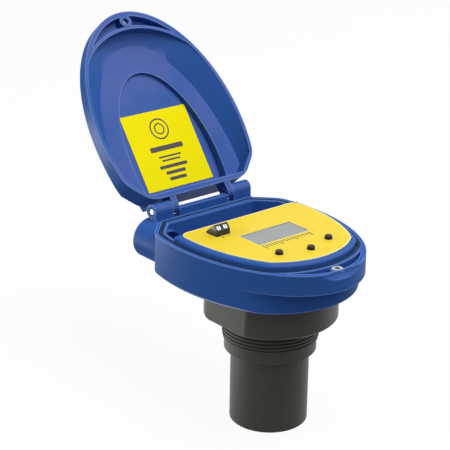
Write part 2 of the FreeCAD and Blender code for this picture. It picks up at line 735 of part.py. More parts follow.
def make_housing():
    boss = cylinder("conduit_boss", "conduit_radius", "conduit_length + conduit_depth",
                    ("0 - conduit_offset", "rear_edge - conduit_depth", CONDUIT_LEVEL), ALONG_Y)
    outside = fuse("housing_outside", [make_housing_form(), boss] + make_housing_hinge())
    shell = cut("housing_shell", outside, make_housing_cavities() + [make_thumb_scoop()])
    pocket_floor = "(%s - tip_pocket_depth)" % RIM
    insert_seat = "(%s - insert_drop - insert_head)" % RIM
    bosses = [cylinder("insert_boss", "insert_boss", "%s - %s" % (insert_seat, pocket_floor),
                       ("0", "0 - latch_distance", pocket_floor))]
    holes = [
        cylinder("neck_hole", "neck_radius + thread_fit", "3 * floor_thickness",
                 ("0", "0", "flange_height - floor_thickness")),
        cylinder("conduit_hole", "conduit_bore", "2 * (conduit_length + conduit_depth)",
                 ("0 - conduit_offset", "rear_edge - conduit_depth", CONDUIT_LEVEL), ALONG_Y),
        cylinder("insert_hole", "insert_radius", "insert_length + insert_head",
                 ("0", "0 - latch_distance", "%s - insert_length" % insert_seat)),
        cylinder("insert_head_seat", "insert_flange + insert_room", "2 * (insert_head + insert_drop)",
                 ("0", "0 - latch_distance", insert_seat)),
    ]
    for name, x, y in post_places():
        bosses.append(cylinder("post_" + name, "post_radius", "board_height", (x, y, FLOOR)))
        holes.append(cylinder("pilot_" + name, "screw_radius", "2 * screw_depth", (x, y, "%s - screw_depth" % BOARD)))
    pin_ends = (("left", "0 - knuckle_end", "0 - knuckle_end - pin_seat_depth"),
                ("right", "knuckle_start", "knuckle_end - pin_seat_depth"))
    for side, start, seat in pin_ends:
        holes.append(cylinder("pin_hole_" + side, "pin_radius", "knuckle_end - knuckle_start",
                              (start, "hinge_distance", HINGE), ALONG_X))
        holes.append(cylinder("pin_seat_" + side, "pin_seat", "2 * pin_seat_depth",
                              (seat, "hinge_distance", HINGE), ALONG_X))
    solid = fuse("housing_with_bosses", [shell] + bosses)
    piece("housing", cut("housing", solid, holes))


def make_rim_hardware():
    """The gasket in the rim's channel, the insert at the tip, and the hinge pins."""
    bottom = "%s - channel_depth" % RIM
    height = "channel_depth + gasket_rise"
    outer = egg_prism("gasket_outer", "(rim_width + gasket_fit)", bottom, height,
                      "%s - gasket_fit" % CHANNEL_REAR, "nose_radius + gasket_width - gasket_fit")
    inner = egg_prism("gasket_inner", "(%s - gasket_fit)" % CHANNEL_INNER, bottom, height,
                      "%s - gasket_width + gasket_fit" % CHANNEL_REAR, "nose_radius + gasket_fit")
    piece("lid_gasket", cut("lid_gasket", outer, [inner]))

    insert = new_body("lid_insert")
    seat = "(%s - insert_drop - insert_head)" % RIM
    profile = new_sketch(insert, "insert_profile", "XZ_Plane")
    polygon(profile, [
        ("insert_bore", "%s - insert_length" % seat),
        ("insert_radius", "%s - insert_length" % seat),
        ("insert_radius", seat),
        ("insert_flange", seat),
        ("insert_flange", "%s + insert_head" % seat),
        ("insert_bore", "%s + insert_head" % seat),
    ])
    revolve(insert, profile, "insert_turned")
    bind(insert, "Placement.Base.y", "0 - latch_distance")
    piece("lid_insert", insert)

    length = "knuckle_end - pin_recess - arm_start - hinge_gap"
    pins = [
        cylinder("pin_left", "pin_radius", length, ("pin_recess - knuckle_end", "hinge_distance", HINGE), ALONG_X),
        cylinder("pin_right", "pin_radius", length, ("arm_start + hinge_gap", "hinge_distance", HINGE), ALONG_X),
    ]
    piece("hinge_pins", group("hinge_pins", pins))


# Deck and panel

def window_hole(sketch, room):
    """The display window's outline, drawn in or out by a margin."""
    wide = "(window_width / 2 + %s)" % room
    deep = "(window_depth / 2 + %s)" % room
    rectangle(sketch, "0 - %s" % wide, wide, "0 - window_distance - %s" % deep, "%s - window_distance" % deep)


def terminal_outline(sketch, room):
    wide = "(terminal_width / 2 + %s)" % room
    rectangle(sketch, "0 - terminal_side - %s" % wide, "%s - terminal_side" % wide,
              "terminal_front - %s" % room, "terminal_front + terminal_depth + %s" % room)


def button_places():
    """The three buttons: name, x and y."""
    yield "left", "0 - side_button_side", "0 - side_button_distance"
    yield "middle", "0", "0 - middle_button_distance"
    yield "right", "side_button_side", "0 - side_button_distance"


def panel_holes(body, name, pane_room):
    """The openings that deck and film share."""
    for what, x, y in button_places():
        sketch = new_sketch(body, "%s_button_%s" % (name, what))
        circle(sketch, x, y, "button_radius + button_fit")
        cut_through(body, sketch, "%s_button_hole_%s" % (name, what))
    terminal = new_sketch(body, name + "_terminal_outline")
    terminal_outline(terminal, "terminal_fit")
    cut_through(body, terminal, name + "_terminal_slot")
    window = new_sketch(body, name + "_window_outline")
    window_hole(window, pane_room)
    cut_through(body, window, name + "_window")


def make_deck():
    """A shallow cap on the thin wall inside the channel, with a rounded edge."""
    edge_inset = "(%s + deck_fit)" % CHANNEL_INNER
    nose = "(nose_radius - deck_fit)"
    height = "deck_rise + lip_drop"
    body = egg_prism("deck_form", edge_inset, DECK_SEAT, height, "deck_rear", nose)
    top = value(DECK_TOP)
    fillet(body, "deck_round", "deck_edge", lambda edge: edge.BoundBox.ZMin > top - 1e-3)
    panel_holes(body, "deck", "0 - window_ledge")
    rebate = new_sketch(body, "pane_rebate_outline", offset=DECK_TOP)
    window_hole(rebate, "pane_fit")
    feature = body.newObject("PartDesign::Pocket", "pane_rebate")
    feature.Profile = rebate
    bind(feature, "Length", "pane_thickness")
    hollow = egg_prism("deck_hollow", "(%s + deck_skirt)" % edge_inset, DECK_SEAT, "%s - deck_plate" % height,
                       "deck_rear - deck_skirt", "%s - deck_skirt" % nose)
    piece("panel_deck", cut("panel_deck", body, [hollow]))


def make_overlay():
    inset = "(%s + deck_fit + overlay_land)" % CHANNEL_INNER
    body = egg_prism("panel_overlay", inset, DECK_TOP, "overlay_thickness",
                     "deck_rear - overlay_rear_land", "nose_radius - deck_fit - overlay_land")
    fillet(body, "overlay_corner", "overlay_corners",
           lambda edge: is_upright(edge) and edge.BoundBox.YMin > value("deck_rear - overlay_rear_land") - 1e-3)
    panel_holes(body, "film", "pane_fit")
    piece("panel_overlay", body)


def make_display():
    pane = new_body("display_window")
    sketch = new_sketch(pane, "pane_outline", offset="%s - pane_thickness" % DECK_TOP)
    window_hole(sketch, "0")
    pad(pane, sketch, "pane_thickness", "pane_block")
    piece("display_window", pane)
    module = new_body("display_module")
    sketch = new_sketch(module, "module_outline", offset=BOARD_TOP)
    window_hole(sketch, "module_border")
    pad(module, sketch, "%s - module_gap - %s" % (DECK_UNDER, BOARD_TOP), "module_block")
    piece("display_module", module)


# Board

def make_board():
    inset = "(%s + board_fit)" % WELL_INSET
    board = egg_prism("main_board", inset, BOARD, "board_thickness",
                      "deck_rear - partition_wall - board_fit", "nose_radius - lip_width - board_fit")
    screws = []
    for name, x, y in post_places():
        hole = new_sketch(board, "board_hole_outline_" + name)
        circle(hole, x, y, "screw_radius")
        cut_through(board, hole, "board_hole_" + name)
        shank = cylinder("shank_" + name, "screw_radius", "screw_depth + board_thickness",
                         (x, y, "%s - screw_depth" % BOARD))
        head = cylinder("head_" + name, "screw_head", "screw_head_height", (x, y, BOARD_TOP))
        screws.append(fuse("board_screw_" + name, [shank, head]))
    piece("main_board", board)
    piece("board_screws", group("board_screws", screws))
    under = "%s - transformer_height" % BOARD
    parts = [
        box("transformer", ("transformer_width", "transformer_width", "transformer_height"),
            ("transformer_side - transformer_width / 2", "0 - transformer_width / 2", under)),
        box("chip", ("chip_width", "chip_width", "chip_height"),
            ("chip_side - chip_width / 2", "0 - chip_width / 2", BOARD_TOP)),
    ]
    for side, sign in SIDES:
        at = ("0 - capacitor_side", "%s * capacitor_spacing / 2" % sign, "%s - capacitor_height" % BOARD)
        parts.append(cylinder("capacitor_" + side, "capacitor_radius", "capacitor_height", at))
    piece("board_components", group("board_components", parts))


def make_buttons():
    """Each button is a turned cap whose stem runs in the well of its switch."""
    switch_top = "(%s + switch_height)" % BOARD_TOP
    flange_top = "(%s - flange_gap)" % DECK_UNDER
    top = "(%s + button_rise)" % FILM_TOP
    switches = []
    for name, x, y in button_places():
        block = box("switch_block_" + name, ("switch_width", "switch_width", "switch_height"),
                    ("%s - switch_width / 2" % x, "%s - switch_width / 2" % y, BOARD_TOP))
        well = cylinder("switch_well_" + name, "stem_radius + button_fit", "2 * switch_well",
                        (x, y, "%s - switch_well" % switch_top))
        switches.append(cut("switch_" + name, block, [well]))
        body = new_body("button_" + name)
        profile = new_sketch(body, "button_profile_" + name, "XZ_Plane")
        polygon(profile, [
            ("0", "%s - stem_depth" % switch_top),
            ("stem_radius", "%s - stem_depth" % switch_top),
            ("stem_radius", "%s - flange_thickness" % flange_top),
            ("button_flange", "%s - flange_thickness" % flange_top),
            ("button_flange", flange_top),
            ("button_radius", flange_top),
            ("button_radius", "%s - button_edge" % top),
            ("button_radius - button_edge", top),
            ("0", top),
        ])
        revolve(body, profile, "button_turned_" + name)
        bind(body, "Placement.Base.x", x)
        bind(body, "Placement.Base.y", y)
        piece("button_" + name, body)
    piece("switch_bodies", group("switch_bodies", switches))


def make_terminal():
    """A two-pole block on the board, standing up through the panel.

    Its screws sit square to the slanted front, and the wires enter the low rear side.
    """
    shoulder = "(%s + terminal_front_height)" % FILM_TOP
    top = "(%s + terminal_slope_rise)" % shoulder
    left = "(0 - terminal_side - terminal_width / 2)"
    rear = "(terminal_front + terminal_depth)"
    body = new_body("terminal_form")
    profile = new_sketch(body, "terminal_profile", "YZ_Plane", left)
    polygon(profile, [
        ("terminal_front", BOARD_TOP),
        (rear, BOARD_TOP),
        (rear, "%s + terminal_rear_height" % FILM_TOP),
        ("terminal_front + terminal_slope_run + terminal_crown", top),
        ("terminal_front + terminal_slope_run", top),
        ("terminal_front", shoulder),
    ])
    pad(body, profile, "terminal_width", "terminal_block_form")
    tilt = "atan(terminal_slope_rise / terminal_slope_run)"
    entry = "(%s + wire_entry_rise)" % FILM_TOP

    def on_slope(x, across, depth):
        """A point beside the middle of the slanted front: up along it, then in below it."""
        y = "terminal_front + terminal_slope_run / 2 + (%s) * cos(%s) + (%s) * sin(%s)" % (across, tilt, depth, tilt)
        z = "%s + terminal_slope_rise / 2 + (%s) * sin(%s) - (%s) * cos(%s)" % (shoulder, across, tilt, depth, tilt)
        return x, y, z

    def tilted(item):
        item.Placement.Rotation = FreeCAD.Rotation(FreeCAD.Vector(1, 0, 0), 1)
        bind(item, "Placement.Rotation.Angle", tilt)
        return item

    hollows = []
    screws = []
    clamps = []
    foot = "terminal_screw_drop + terminal_screw_length"
    for side, sign in SIDES:
        x = "(%s * terminal_pitch / 2 - terminal_side)" % sign
        hollows.append(tilted(cylinder("screw_well_" + side, "terminal_screw_radius + terminal_well_fit",
                                       "2 * (%s)" % foot, on_slope(x, "0", foot))))
        hollows.append(box("wire_entry_" + side, ("wire_entry_width", "2 * wire_entry_depth", "wire_entry_height"),
                           ("%s - wire_entry_width / 2" % x, "%s - wire_entry_depth" % rear, entry)))
        shank = tilted(cylinder("screw_shank_" + side, "terminal_screw_radius", "terminal_screw_length",
                                on_slope(x, "0", foot)))
        slot = tilted(box("screw_slot_" + side, ("screw_slot_width", "4 * terminal_screw_radius", "2 * screw_slot_depth"),
                          on_slope("%s - screw_slot_width / 2" % x, "0 - 2 * terminal_screw_radius",
                                   "terminal_screw_drop + screw_slot_depth")))
        screws.append(cut("terminal_screw_" + side, shank, [slot]))
        clamps.append(box("terminal_clamp_" + side, ("wire_entry_width", "clamp_length", "clamp_thickness"),
                          ("%s - wire_entry_width / 2" % x, "%s - wire_entry_depth" % rear, entry)))
    piece("terminal_block", cut("terminal_block", body, hollows))
    piece("terminal_screws", group("terminal_screws", screws))
    piece("terminal_clamps", group("terminal_clamps", clamps))


# Lid

def open_lid(item):
    """Turn a piece that was built on the closed lid open about the hinge axis."""
    item.Placement = FreeCAD.Placement(FreeCAD.Vector(), FreeCAD.Rotation(FreeCAD.Vector(-1, 0, 0), 1))
    bind(item, "Placement.Rotation.Angle", "lid_open_angle")
    bind(item, "Placement.Base.y",
         "hinge_distance - hinge_distance * cos(lid_open_angle) - %s * sin(lid_open_angle)" % HINGE)
    bind(item, "Placement.Base.z",
         "%s + hinge_distance * sin(lid_open_angle) - %s * cos(lid_open_angle)" % (HINGE, HINGE))
    return item


def slope_cut(body, name, start, rise):
    """Cut off what lies above a plane that climbs towards the hinge."""
    sketch = new_sketch(body, name + "_outline", "YZ_Plane")
    run = "(2 * cut_reach)"
    low = "(%s - tan(arch_slope) * cut_reach)" % rise
    polygon(sketch, [
        ("%s - cut_reach" % start, low),
        ("%s + cut_reach" % start, "%s + tan(arch_slope) * %s" % (low, run)),
        ("%s + cut_reach" % start, "%s + %s" % (rise, run)),
        ("%s - cut_reach" % start, "%s + %s" % (rise, run)),
    ])
    return cut_through(body, sketch, name)


ARCH_FRONT = "(arch_centre - arch_half_length)"
LID_FLOOR = "(flange_height + housing_height + lid_gap + lid_height - lid_wall)"


def make_arch(name, room, bottom, rear, rise):
    """The arched block that climbs towards the hinge, drawn out by a wall."""
    body = new_body(name)
    sketch = new_sketch(body, name + "_outline", offset=bottom)
    long_ellipse(sketch, "arch_half_width + %s" % room, "arch_half_length + %s" % room, "arch_centre")
    pad(body, sketch, "cut_reach / 2", name + "_block")
    trim_rear(body, name, "rear_edge - (%s)" % rear, rear)
    slope_cut(body, name + "_slope", ARCH_FRONT, rise)
    return body


def sloped_sides(name, low, high, foot, crown):
    """A block with an elliptical foot and crown and straight sloping sides between them."""
    body = new_body(name)
    base = new_sketch(body, name + "_foot", offset=low)
    long_ellipse(base, *foot)
    top = new_sketch(body, name + "_crown", offset=high)
    long_ellipse(top, *crown)
    feature = body.newObject("PartDesign::AdditiveLoft", name + "_sides")
    feature.Profile = base
    feature.Sections = [top]
    feature.Ruled = True
    return body


def make_lid_outside():
    """Upright sides under a sloping shoulder, with the arch standing up out of the crown."""
    sides = egg_prism("lid_sides", "0", LID, "2 * lid_height", LID_REAR)
    round_corners(sides, "corner_round", "lid_corners")
    shoulder = sloped_sides("lid_shoulder", LID, "%s + lid_height" % LID,
                            ("half_width + shoulder_flare", "shoulder_half_length", "shoulder_centre"),
                            ("half_width - crown_inset", "crown_half_length", "crown_centre"))
    dome = common("lid_dome", [sides, shoulder])
    arch = make_arch("lid_arch", "arch_wall", "%s + lid_height / 2" % LID, LID_REAR,
                     "%s + arch_step + lid_wall" % LID_FLOOR)
    return [dome, arch]


def make_lid_arms():
    items = []
    for side, start in (("left", "hinge_gap - knuckle_start"), ("right", "arm_start")):
        body = new_body("lid_arm_" + side)
        length = "knuckle_start - hinge_gap - arm_start"
        web = new_sketch(body, "arm_web_outline_" + side, "YZ_Plane", start)
        rectangle(web, "%s - lid_wall" % LID_REAR, "hinge_distance",
                  "%s - knuckle_radius" % HINGE, "%s + knuckle_radius" % HINGE)
        pad(body, web, length, "arm_web_" + side)
        end = new_sketch(body, "arm_round_outline_" + side, "YZ_Plane", start)
        circle(end, "hinge_distance", HINGE, "knuckle_radius")
        pad(body, end, length, "arm_round_" + side)
        items.append(body)
    return items


def make_lid_cavity():
    """A bowl with sloping sides, the arched recess in its floor, the pocket at the tip and a stepped land."""
    rear = "%s - lid_rear_land" % LID_REAR
    nose = "nose_radius + lid_nose_room"
    under = "%s - lid_wall" % LID
    sides = egg_prism("bowl_sides", "lid_rim_width", under, "2 * lid_height", rear, nose)
    slopes = sloped_sides("bowl_slopes", under, LID_FLOOR,
                          ("half_width + bowl_flare", "bowl_half_length", "bowl_centre"),
                          ("half_width - crown_inset - lid_wall", "crown_half_length - lid_wall", "crown_centre"))
    bowl = common("lid_bowl", [sides, slopes])
    arch = make_arch("recess", "0", "%s + lid_height / 2" % LID, rear, "%s + arch_step" % LID_FLOOR)
    tip = crescent("lid_tip_pocket", "tip_wall", "%s - lid_pocket_depth" % LID, "2 * lid_pocket_depth",
                   "%s + lid_lip" % nose)
    return [bowl, arch, tip]


def make_lid():
    outside = fuse("lid_outside", make_lid_outside() + make_lid_arms())
    shell = cut("lid_shell", outside, make_lid_cavity())
    screw = ("0", "0 - latch_distance", LID)
    boss = cylinder("lid_screw_boss", "lid_boss", "lid_boss_height", screw)
    holes = [
        cylinder("lid_screw_hole", "screw_hole", "3 * lid_boss_height",
                 ("0", "0 - latch_distance", "%s - lid_boss_height" % LID)),
        cylinder("lid_screw_seat", "screw_seat", "lid_height",
                 ("0", "0 - latch_distance", "%s + lid_boss_height" % LID)),
    ]
    for side, start in (("left", "0 - knuckle_start"), ("right", "arm_start - hinge_gap")):
        holes.append(cylinder("arm_hole_" + side, "pin_radius + pin_fit", "knuckle_start - arm_start + hinge_gap",
                              (start, "hinge_distance", HINGE), ALONG_X))
    solid = fuse("lid_with_boss", [shell, boss])
    piece("lid", open_lid(cut("lid", solid, holes)))


def make_lid_screw():
    """The captive screw at the tip, drawn back into its boss."""
    seat = "%s + lid_boss_height" % LID
    shank = cylinder("lid_screw_shank", "lid_screw_radius", "lid_boss_height - lid_screw_drop",
                     ("0", "0 - latch_distance", "%s + lid_screw_drop" % LID))
    head = cylinder("lid_screw_cap", "lid_screw_head", "lid_screw_head_height", ("0", "0 - latch_distance", seat))
    slot = box("lid_screw_groove", ("4 * lid_screw_head", "lid_screw_slot", "lid_screw_head_height"), (
        "0 - 2 * lid_screw_head",
        "0 - latch_distance - lid_screw_slot / 2",
        "%s + lid_screw_head_height / 2" % seat,
    ))
    turned = fuse("lid_screw_turned", [shank, head])
    piece("lid_screw", open_lid(cut("lid_screw", turned, [slot])))


def make_label():
    """A plain sticker on the slope of the recess."""
    body = new_body("lid_label")
    sketch = new_sketch(body, "label_profile", "YZ_Plane", "label_shift - label_width / 2")
    rear = "(label_distance + label_length * cos(arch_slope))"

    def level(y):
        return "%s + arch_step + (%s - %s) * tan(arch_slope)" % (LID_FLOOR, y, ARCH_FRONT)

    thick = "label_thickness / cos(arch_slope)"
    polygon(sketch, [
        ("label_distance", level("label_distance")),
        (rear, level(rear)),
        (rear, "%s - %s" % (level(rear), thick)),
        ("label_distance", "%s - %s" % (level("label_distance"), thick)),
    ])
    pad(body, sketch, "label_width", "label_sheet")
    piece("lid_label", open_lid(body))


def main():
    make_transducer_body()
    make_acoustic_stack()
    make_seal_and_nut()
    make_housing()
    make_rim_hardware()
    make_deck()
    make_overlay()
    make_display()
    make_board()
    make_buttons()
    make_terminal()
    make_lid()
    make_lid_screw()
    make_label()
    doc.recompute()
    for item in doc.Objects:
        if "Invalid" in item.State or "Error" in item.State:
            raise RuntimeError("%s did not build: %s" % (item.Name, item.State))
    os.makedirs("parts", exist_ok=True)
    for item in pieces:
        shape = item.Shape
        if shape.isNull() or not shape.isValid() or not shape.Solids:
            raise RuntimeError("%s has no sound solid" % item.Label)
        shape.exportStep("parts/%s.step" % item.Label)
        print("%-18s %d solid(s) %10.1f mm3" % (item.Label, len(shape.Solids), shape.Volume))


main()
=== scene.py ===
"""Looks of an ultrasonic level transmitter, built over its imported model."""
import json
import math

import bmesh
import bpy
from bpy.props import FloatProperty, FloatVectorProperty, IntProperty, PointerProperty
from bpy.types import Operator, Panel, PropertyGroup
from mathutils import Matrix, Vector


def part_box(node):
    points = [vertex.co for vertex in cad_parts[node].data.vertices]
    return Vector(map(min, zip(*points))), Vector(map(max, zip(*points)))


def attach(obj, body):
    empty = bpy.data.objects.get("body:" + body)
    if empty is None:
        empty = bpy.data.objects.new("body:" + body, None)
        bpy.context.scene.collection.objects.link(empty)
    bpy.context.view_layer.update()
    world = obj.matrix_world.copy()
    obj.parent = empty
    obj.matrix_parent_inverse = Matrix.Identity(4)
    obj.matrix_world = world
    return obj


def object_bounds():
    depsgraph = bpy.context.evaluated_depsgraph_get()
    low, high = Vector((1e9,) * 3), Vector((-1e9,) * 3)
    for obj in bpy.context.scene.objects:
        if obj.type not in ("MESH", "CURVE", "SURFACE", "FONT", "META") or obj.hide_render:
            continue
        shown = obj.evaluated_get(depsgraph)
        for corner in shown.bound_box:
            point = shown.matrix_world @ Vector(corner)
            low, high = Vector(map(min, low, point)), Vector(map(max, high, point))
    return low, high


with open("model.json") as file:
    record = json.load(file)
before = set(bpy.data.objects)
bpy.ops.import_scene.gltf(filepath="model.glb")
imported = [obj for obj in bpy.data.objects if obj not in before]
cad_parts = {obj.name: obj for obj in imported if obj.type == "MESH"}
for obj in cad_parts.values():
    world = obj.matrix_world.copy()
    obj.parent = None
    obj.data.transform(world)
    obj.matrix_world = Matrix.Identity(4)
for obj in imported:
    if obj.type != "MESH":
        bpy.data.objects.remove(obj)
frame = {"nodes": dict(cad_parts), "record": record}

bl_info = {
    "name": "Level transmitter",
    "version": (1, 0, 0),
    "blender": (4, 5, 0),
    "location": "View3D > Sidebar > Transmitter",
    "description": "Finishes, threads, print and stage of a level transmitter",
    "category": "Object",
}

CAD_BOX = [list(corner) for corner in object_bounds()]
NODES = frame["nodes"]
SLOT_COLOURS = {entry["slot"]: tuple(entry["base_color"]) for entry in frame["record"]["materials"]}
WHITE = (1.0, 1.0, 1.0, 1.0)

# Grain, a painted highlight on outer edges and a clouded painted sheen inside the lid, with all lengths in
# metres
SPECK_SHARE = 0.35
GRAIN_DEPTH = 0.00005
MASK_SAMPLES = 8
LID_FACING = (0.0, -0.766, 0.643)
PAINTED_SHEEN_START = 0.8
CLOUD_SEED = 2.4
CLOUD_LOW = 0.4
CLOUD_HIGH = 0.6
CLOUD_THIN = 0.35
CLOUD_THICK = 1.3

# Turning lines, painted shade in metal hollows and along the hinge pins
TURNING_SCALE = 1800.0
PLATING_SCALE = 2600.0
SCRATCHES_IN_FLOW = 8.0
SCRATCH_DEPTH = 0.00004
HOLLOW_REACH = 0.001
HOLLOW_POWER = 3.0
HOLLOW_SHADE = (0.01, 0.01, 0.01, 1.0)
PIN_SHADE = (0.01, 0.012, 0.02, 1.0)
PEENED_LENGTH = 0.0015

# Rounded edges of the mouldings and the polished foot of the housing
SHELL_EDGE = 0.0006
DECK_EDGE = 0.0003
BODY_EDGE = 0.0005
SEAL_EDGE = 0.0005
TERMINAL_EDGE = 0.00025
EDGE_ANGLE = math.radians(32.0)
WELD_REACH = 0.000002
MERGE_REACH = 0.000001
POLISHED_SLOT = 1
FOOT_REACH = 0.002
FOOT_STEEPEST = -0.5
FOOT_FLATTEST = -0.9

# Thread ridges, with foot, top and fade as shares of the pitch
PROCESS_FOOT = 0.22
PROCESS_TOP = 0.46
CONDUIT_FOOT = 0.2
CONDUIT_TOP = 0.45
FADE_SHARE = 0.7
ENTRY_LEAD = 0.0008
THREAD_SMOOTHING = math.radians(25.0)

# Print: the label's bars are (level, reach, height), with level and reach as shares of its half sizes
LABEL_BARS = (
    (0.02, 0.5, 0.0034),
    (-0.2, 0.34, 0.0012),
    (-0.3, 0.28, 0.0012),
    (-0.46, 0.42, 0.0022),
    (-0.62, 0.3, 0.0022),
    (-0.78, 0.26, 0.0022),
)
RING_LEVEL = 0.52
INNER_RING = 0.55
RING_LINE = 1.6
CUT_SHARE = 0.2
UPWARD = 0.9
PAPER_REACH = 0.0001
TICKS = 15
TICKS_PER_LONG = 5
LONG_TICK = 0.0052
SHORT_TICK = 0.0036
TICK_HALF = 0.00042
SCALE_GAP = 0.0016
SCALE_LEFT = 0.0005
SCALE_RIGHT = 0.003
POLE_OFFSET = 0.0025
SIGN_GAP = 0.0026
SIGN_HALF = 0.0009
SIGN_LINE = 0.0002

# Stage: a lamp is (name, power setting, size, place)
AIM = (0.0, 0.04, 0.03)
LAMPS = (
    ("key_light", "key_power", 1.0, (0.15, -0.45, 1.6)),
    ("front_light", "front_power", 1.0, (0.1, -1.3, 1.2)),
    ("left_light", "left_power", 0.9, (-1.2, 0.7, 0.5)),
    ("right_light", "right_power", 0.9, (1.3, 0.2, 0.6)),
)
REFLECTED_LAMPS = (
    ("sheen_light", "sheen_power", 0.2, (-0.42, 0.3, -0.08)),
    ("glint_light", "glint_power", 0.2, (-0.177, 0.395, -0.08)),
    ("edge_light", "edge_power", 0.2, (0.4, -0.12, -0.05)),
)
FLOOR_GAP = 0.0001
FLOOR_TONE = (0.9, 0.9, 0.9, 1.0)
FLOOR_BOUNCE = (0.3, 0.3, 0.3, 1.0)
FLOOR_GLOW = 0.94


# Settings

def length(name, description, default):
    return FloatProperty(name=name, description=description, default=default, unit="LENGTH", precision=5)


def colour(name, description, default):
    return FloatVectorProperty(name=name, description=description, default=default, subtype="COLOR",
                               size=3, min=0.0, max=1.0)


def bearing(name, description, degrees):
    return FloatProperty(name=name, description=description, default=math.radians(degrees), subtype="ANGLE")


def wattage(name, description, default):
    return FloatProperty(name=name, description=description, default=default, unit="POWER")


class FinishSettings(PropertyGroup):
    """Colours of the finishes."""

    blue: colour("Housing blue", "Moulded plastic of housing, lid and deck", (0.033, 0.114, 0.4))
    grey: colour("Transducer grey", "Moulded plastic of the transducer", (0.068, 0.065, 0.057))
    film: colour("Panel film", "Printed film on the deck", (0.86, 0.645, 0.028))
    label: colour("Label", "Paper of the label in the lid", SLOT_COLOURS["label"])
    pane: colour("Display pane", "Pane over the display", SLOT_COLOURS["pane"])
    display: colour("Display", "Display module under the pane", SLOT_COLOURS["display"])
    button: colour("Buttons", "Rubbery push buttons", SLOT_COLOURS["button"])
    black: colour("Black plastic", "Terminal, switches and parts on the board", SLOT_COLOURS["black_plastic"])
    # The seal's navy is its dark rubber with a painted reflection of the blue housing round it.
    seal: colour("Lid seal", "Gasket under the lid", (0.012, 0.028, 0.075))
    rubber: colour("Rubber", "Flat seal and damping block", SLOT_COLOURS["rubber"])
    steel: colour("Steel", "Pins, insert, screws and clamps", SLOT_COLOURS["steel"])
    zinc: colour("Zinc", "Plating of the lid screw", (0.75, 0.81, 0.84))
    board: colour("Circuit board", "Lacquer of the board", SLOT_COLOURS["board"])
    ceramic: colour("Ceramic", "Piezo disc", SLOT_COLOURS["ceramic"])
    matching: colour("Matching layer", "Filled resin", SLOT_COLOURS["matching"])
    lead: colour("Leads", "Insulation of the leads", SLOT_COLOURS["lead"])
    ink: colour("Ink", "Print on label and film", (0.035, 0.03, 0.03))
    # The pale band round the panel film is a painted highlight on the film's edge.
    highlight_band: colour("Highlight band", "Pale border round the panel film", (0.95, 0.88, 0.5))


class ThreadSettings(PropertyGroup):
    """Sizes of the two pipe threads."""

    process_pitch: length("Process pitch", "Rise of the process thread in one turn", 0.002209)
    process_crest: length("Process crest", "Radius over the ridges at the flange", 0.03016)
    process_root: length("Process root", "Radius under the ridges", 0.0291)
    process_length: length("Process length", "From the flange to the collar", 0.01456)
    process_taper: FloatProperty(name="Taper", description="Radius lost for each unit of length",
                                 default=0.03125)
    conduit_pitch: length("Conduit pitch", "Rise of the conduit thread in one turn", 0.001814)
    conduit_crest: length("Conduit crest", "Radius inside the ridges", 0.0087)
    conduit_root: length("Conduit root", "Radius of the bore", 0.00925)
    conduit_length: length("Conduit length", "Threaded depth of the entry", 0.019)
    steps: IntProperty(name="Steps", description="Facets in one turn", default=96, min=24)


class PrintSettings(PropertyGroup):
    """Sizes of the plain print on label and film, and of the pale band that paints a highlight round the
    film.
    """

    thickness: length("Ink", "Thickness of the ink", 0.00003)
    line: length("Line", "Width of the printed lines", 0.0006)
    ring: length("Ring", "Radius of the plain ring on the label", 0.0072)
    # Width of the painted highlight band round the film.
    highlight_band: length("Highlight band", "Width of the pale border round the panel film", 0.0006)


class StageSettings(PropertyGroup):
    """Camera and light."""

    azimuth: bearing("Azimuth", "Camera round the object", -40.3)
    elevation: bearing("Elevation", "Camera above the horizon", 21.19)
    roll: bearing("Roll", "Tilt of the camera", 0.92)
    eye: FloatVectorProperty(name="Eye", description="Place of the camera", subtype="TRANSLATION", size=3,
                             default=(-0.59122, -0.65255, 0.39781))
    lens: FloatProperty(name="Lens", description="Focal length of the camera", default=126.3, unit="CAMERA")
    key_power: wattage("Key light", "Large light overhead", 19.5)
    front_power: wattage("Front light", "Light from the front, high up", 6.5)
    left_power: wattage("Left light", "Light from the left, a little behind", 8.6)
    right_power: wattage("Right light", "Light from the right", 4.8)
    sheen_power: wattage("Sheen", "Low panel on the left, seen in reflections alone", 3.0)
    glint_power: wattage("Glint", "Low panel behind on the left, seen in reflections alone", 6.5)
    edge_power: wattage("Edge", "Low panel on the right, seen in reflections alone", 1.7)
    ambient: FloatProperty(name="Ambient", description="Even light from all round", default=0.13)


# Node tools

def new_group(name, inputs, outputs):
    """An empty shader node group with named sockets."""
    tree = bpy.data.node_groups.new(name, "ShaderNodeTree")
    for socket, kind, default in inputs:
        made = tree.interface.new_socket(name=socket, in_out="INPUT", socket_type=kind)
        made.default_value = default
    for socket, kind in outputs:
        tree.interface.new_socket(name=socket, in_out="OUTPUT", socket_type=kind)
    return tree, tree.nodes.new("NodeGroupInput"), tree.nodes.new("NodeGroupOutput")


def add_node(tree, kind, links=None, **values):
    """A node with its settings, its sockets filled in by name or number and its links made."""
    node = tree.nodes.new(kind)
    for name, setting in values.items():
        setattr(node, name, setting)
    for socket, source in (links or {}).items():
        target = node.inputs[socket]
        if isinstance(source, bpy.types.NodeSocket):
            tree.links.new(source, target)
        else:
            target.default_value = source
    return node


def math_node(tree, operation, first, second=0.0):
    return add_node(tree, "ShaderNodeMath", {0: first, 1: second}, operation=operation).outputs[0]


def mix_node(tree, share, first, second):
    """One colour blended into another by a share from 0 to 1."""
    mix = add_node(tree, "ShaderNodeMix", {"Factor": share, 6: first, 7: second}, data_type="RGBA")
    return mix.outputs[2]


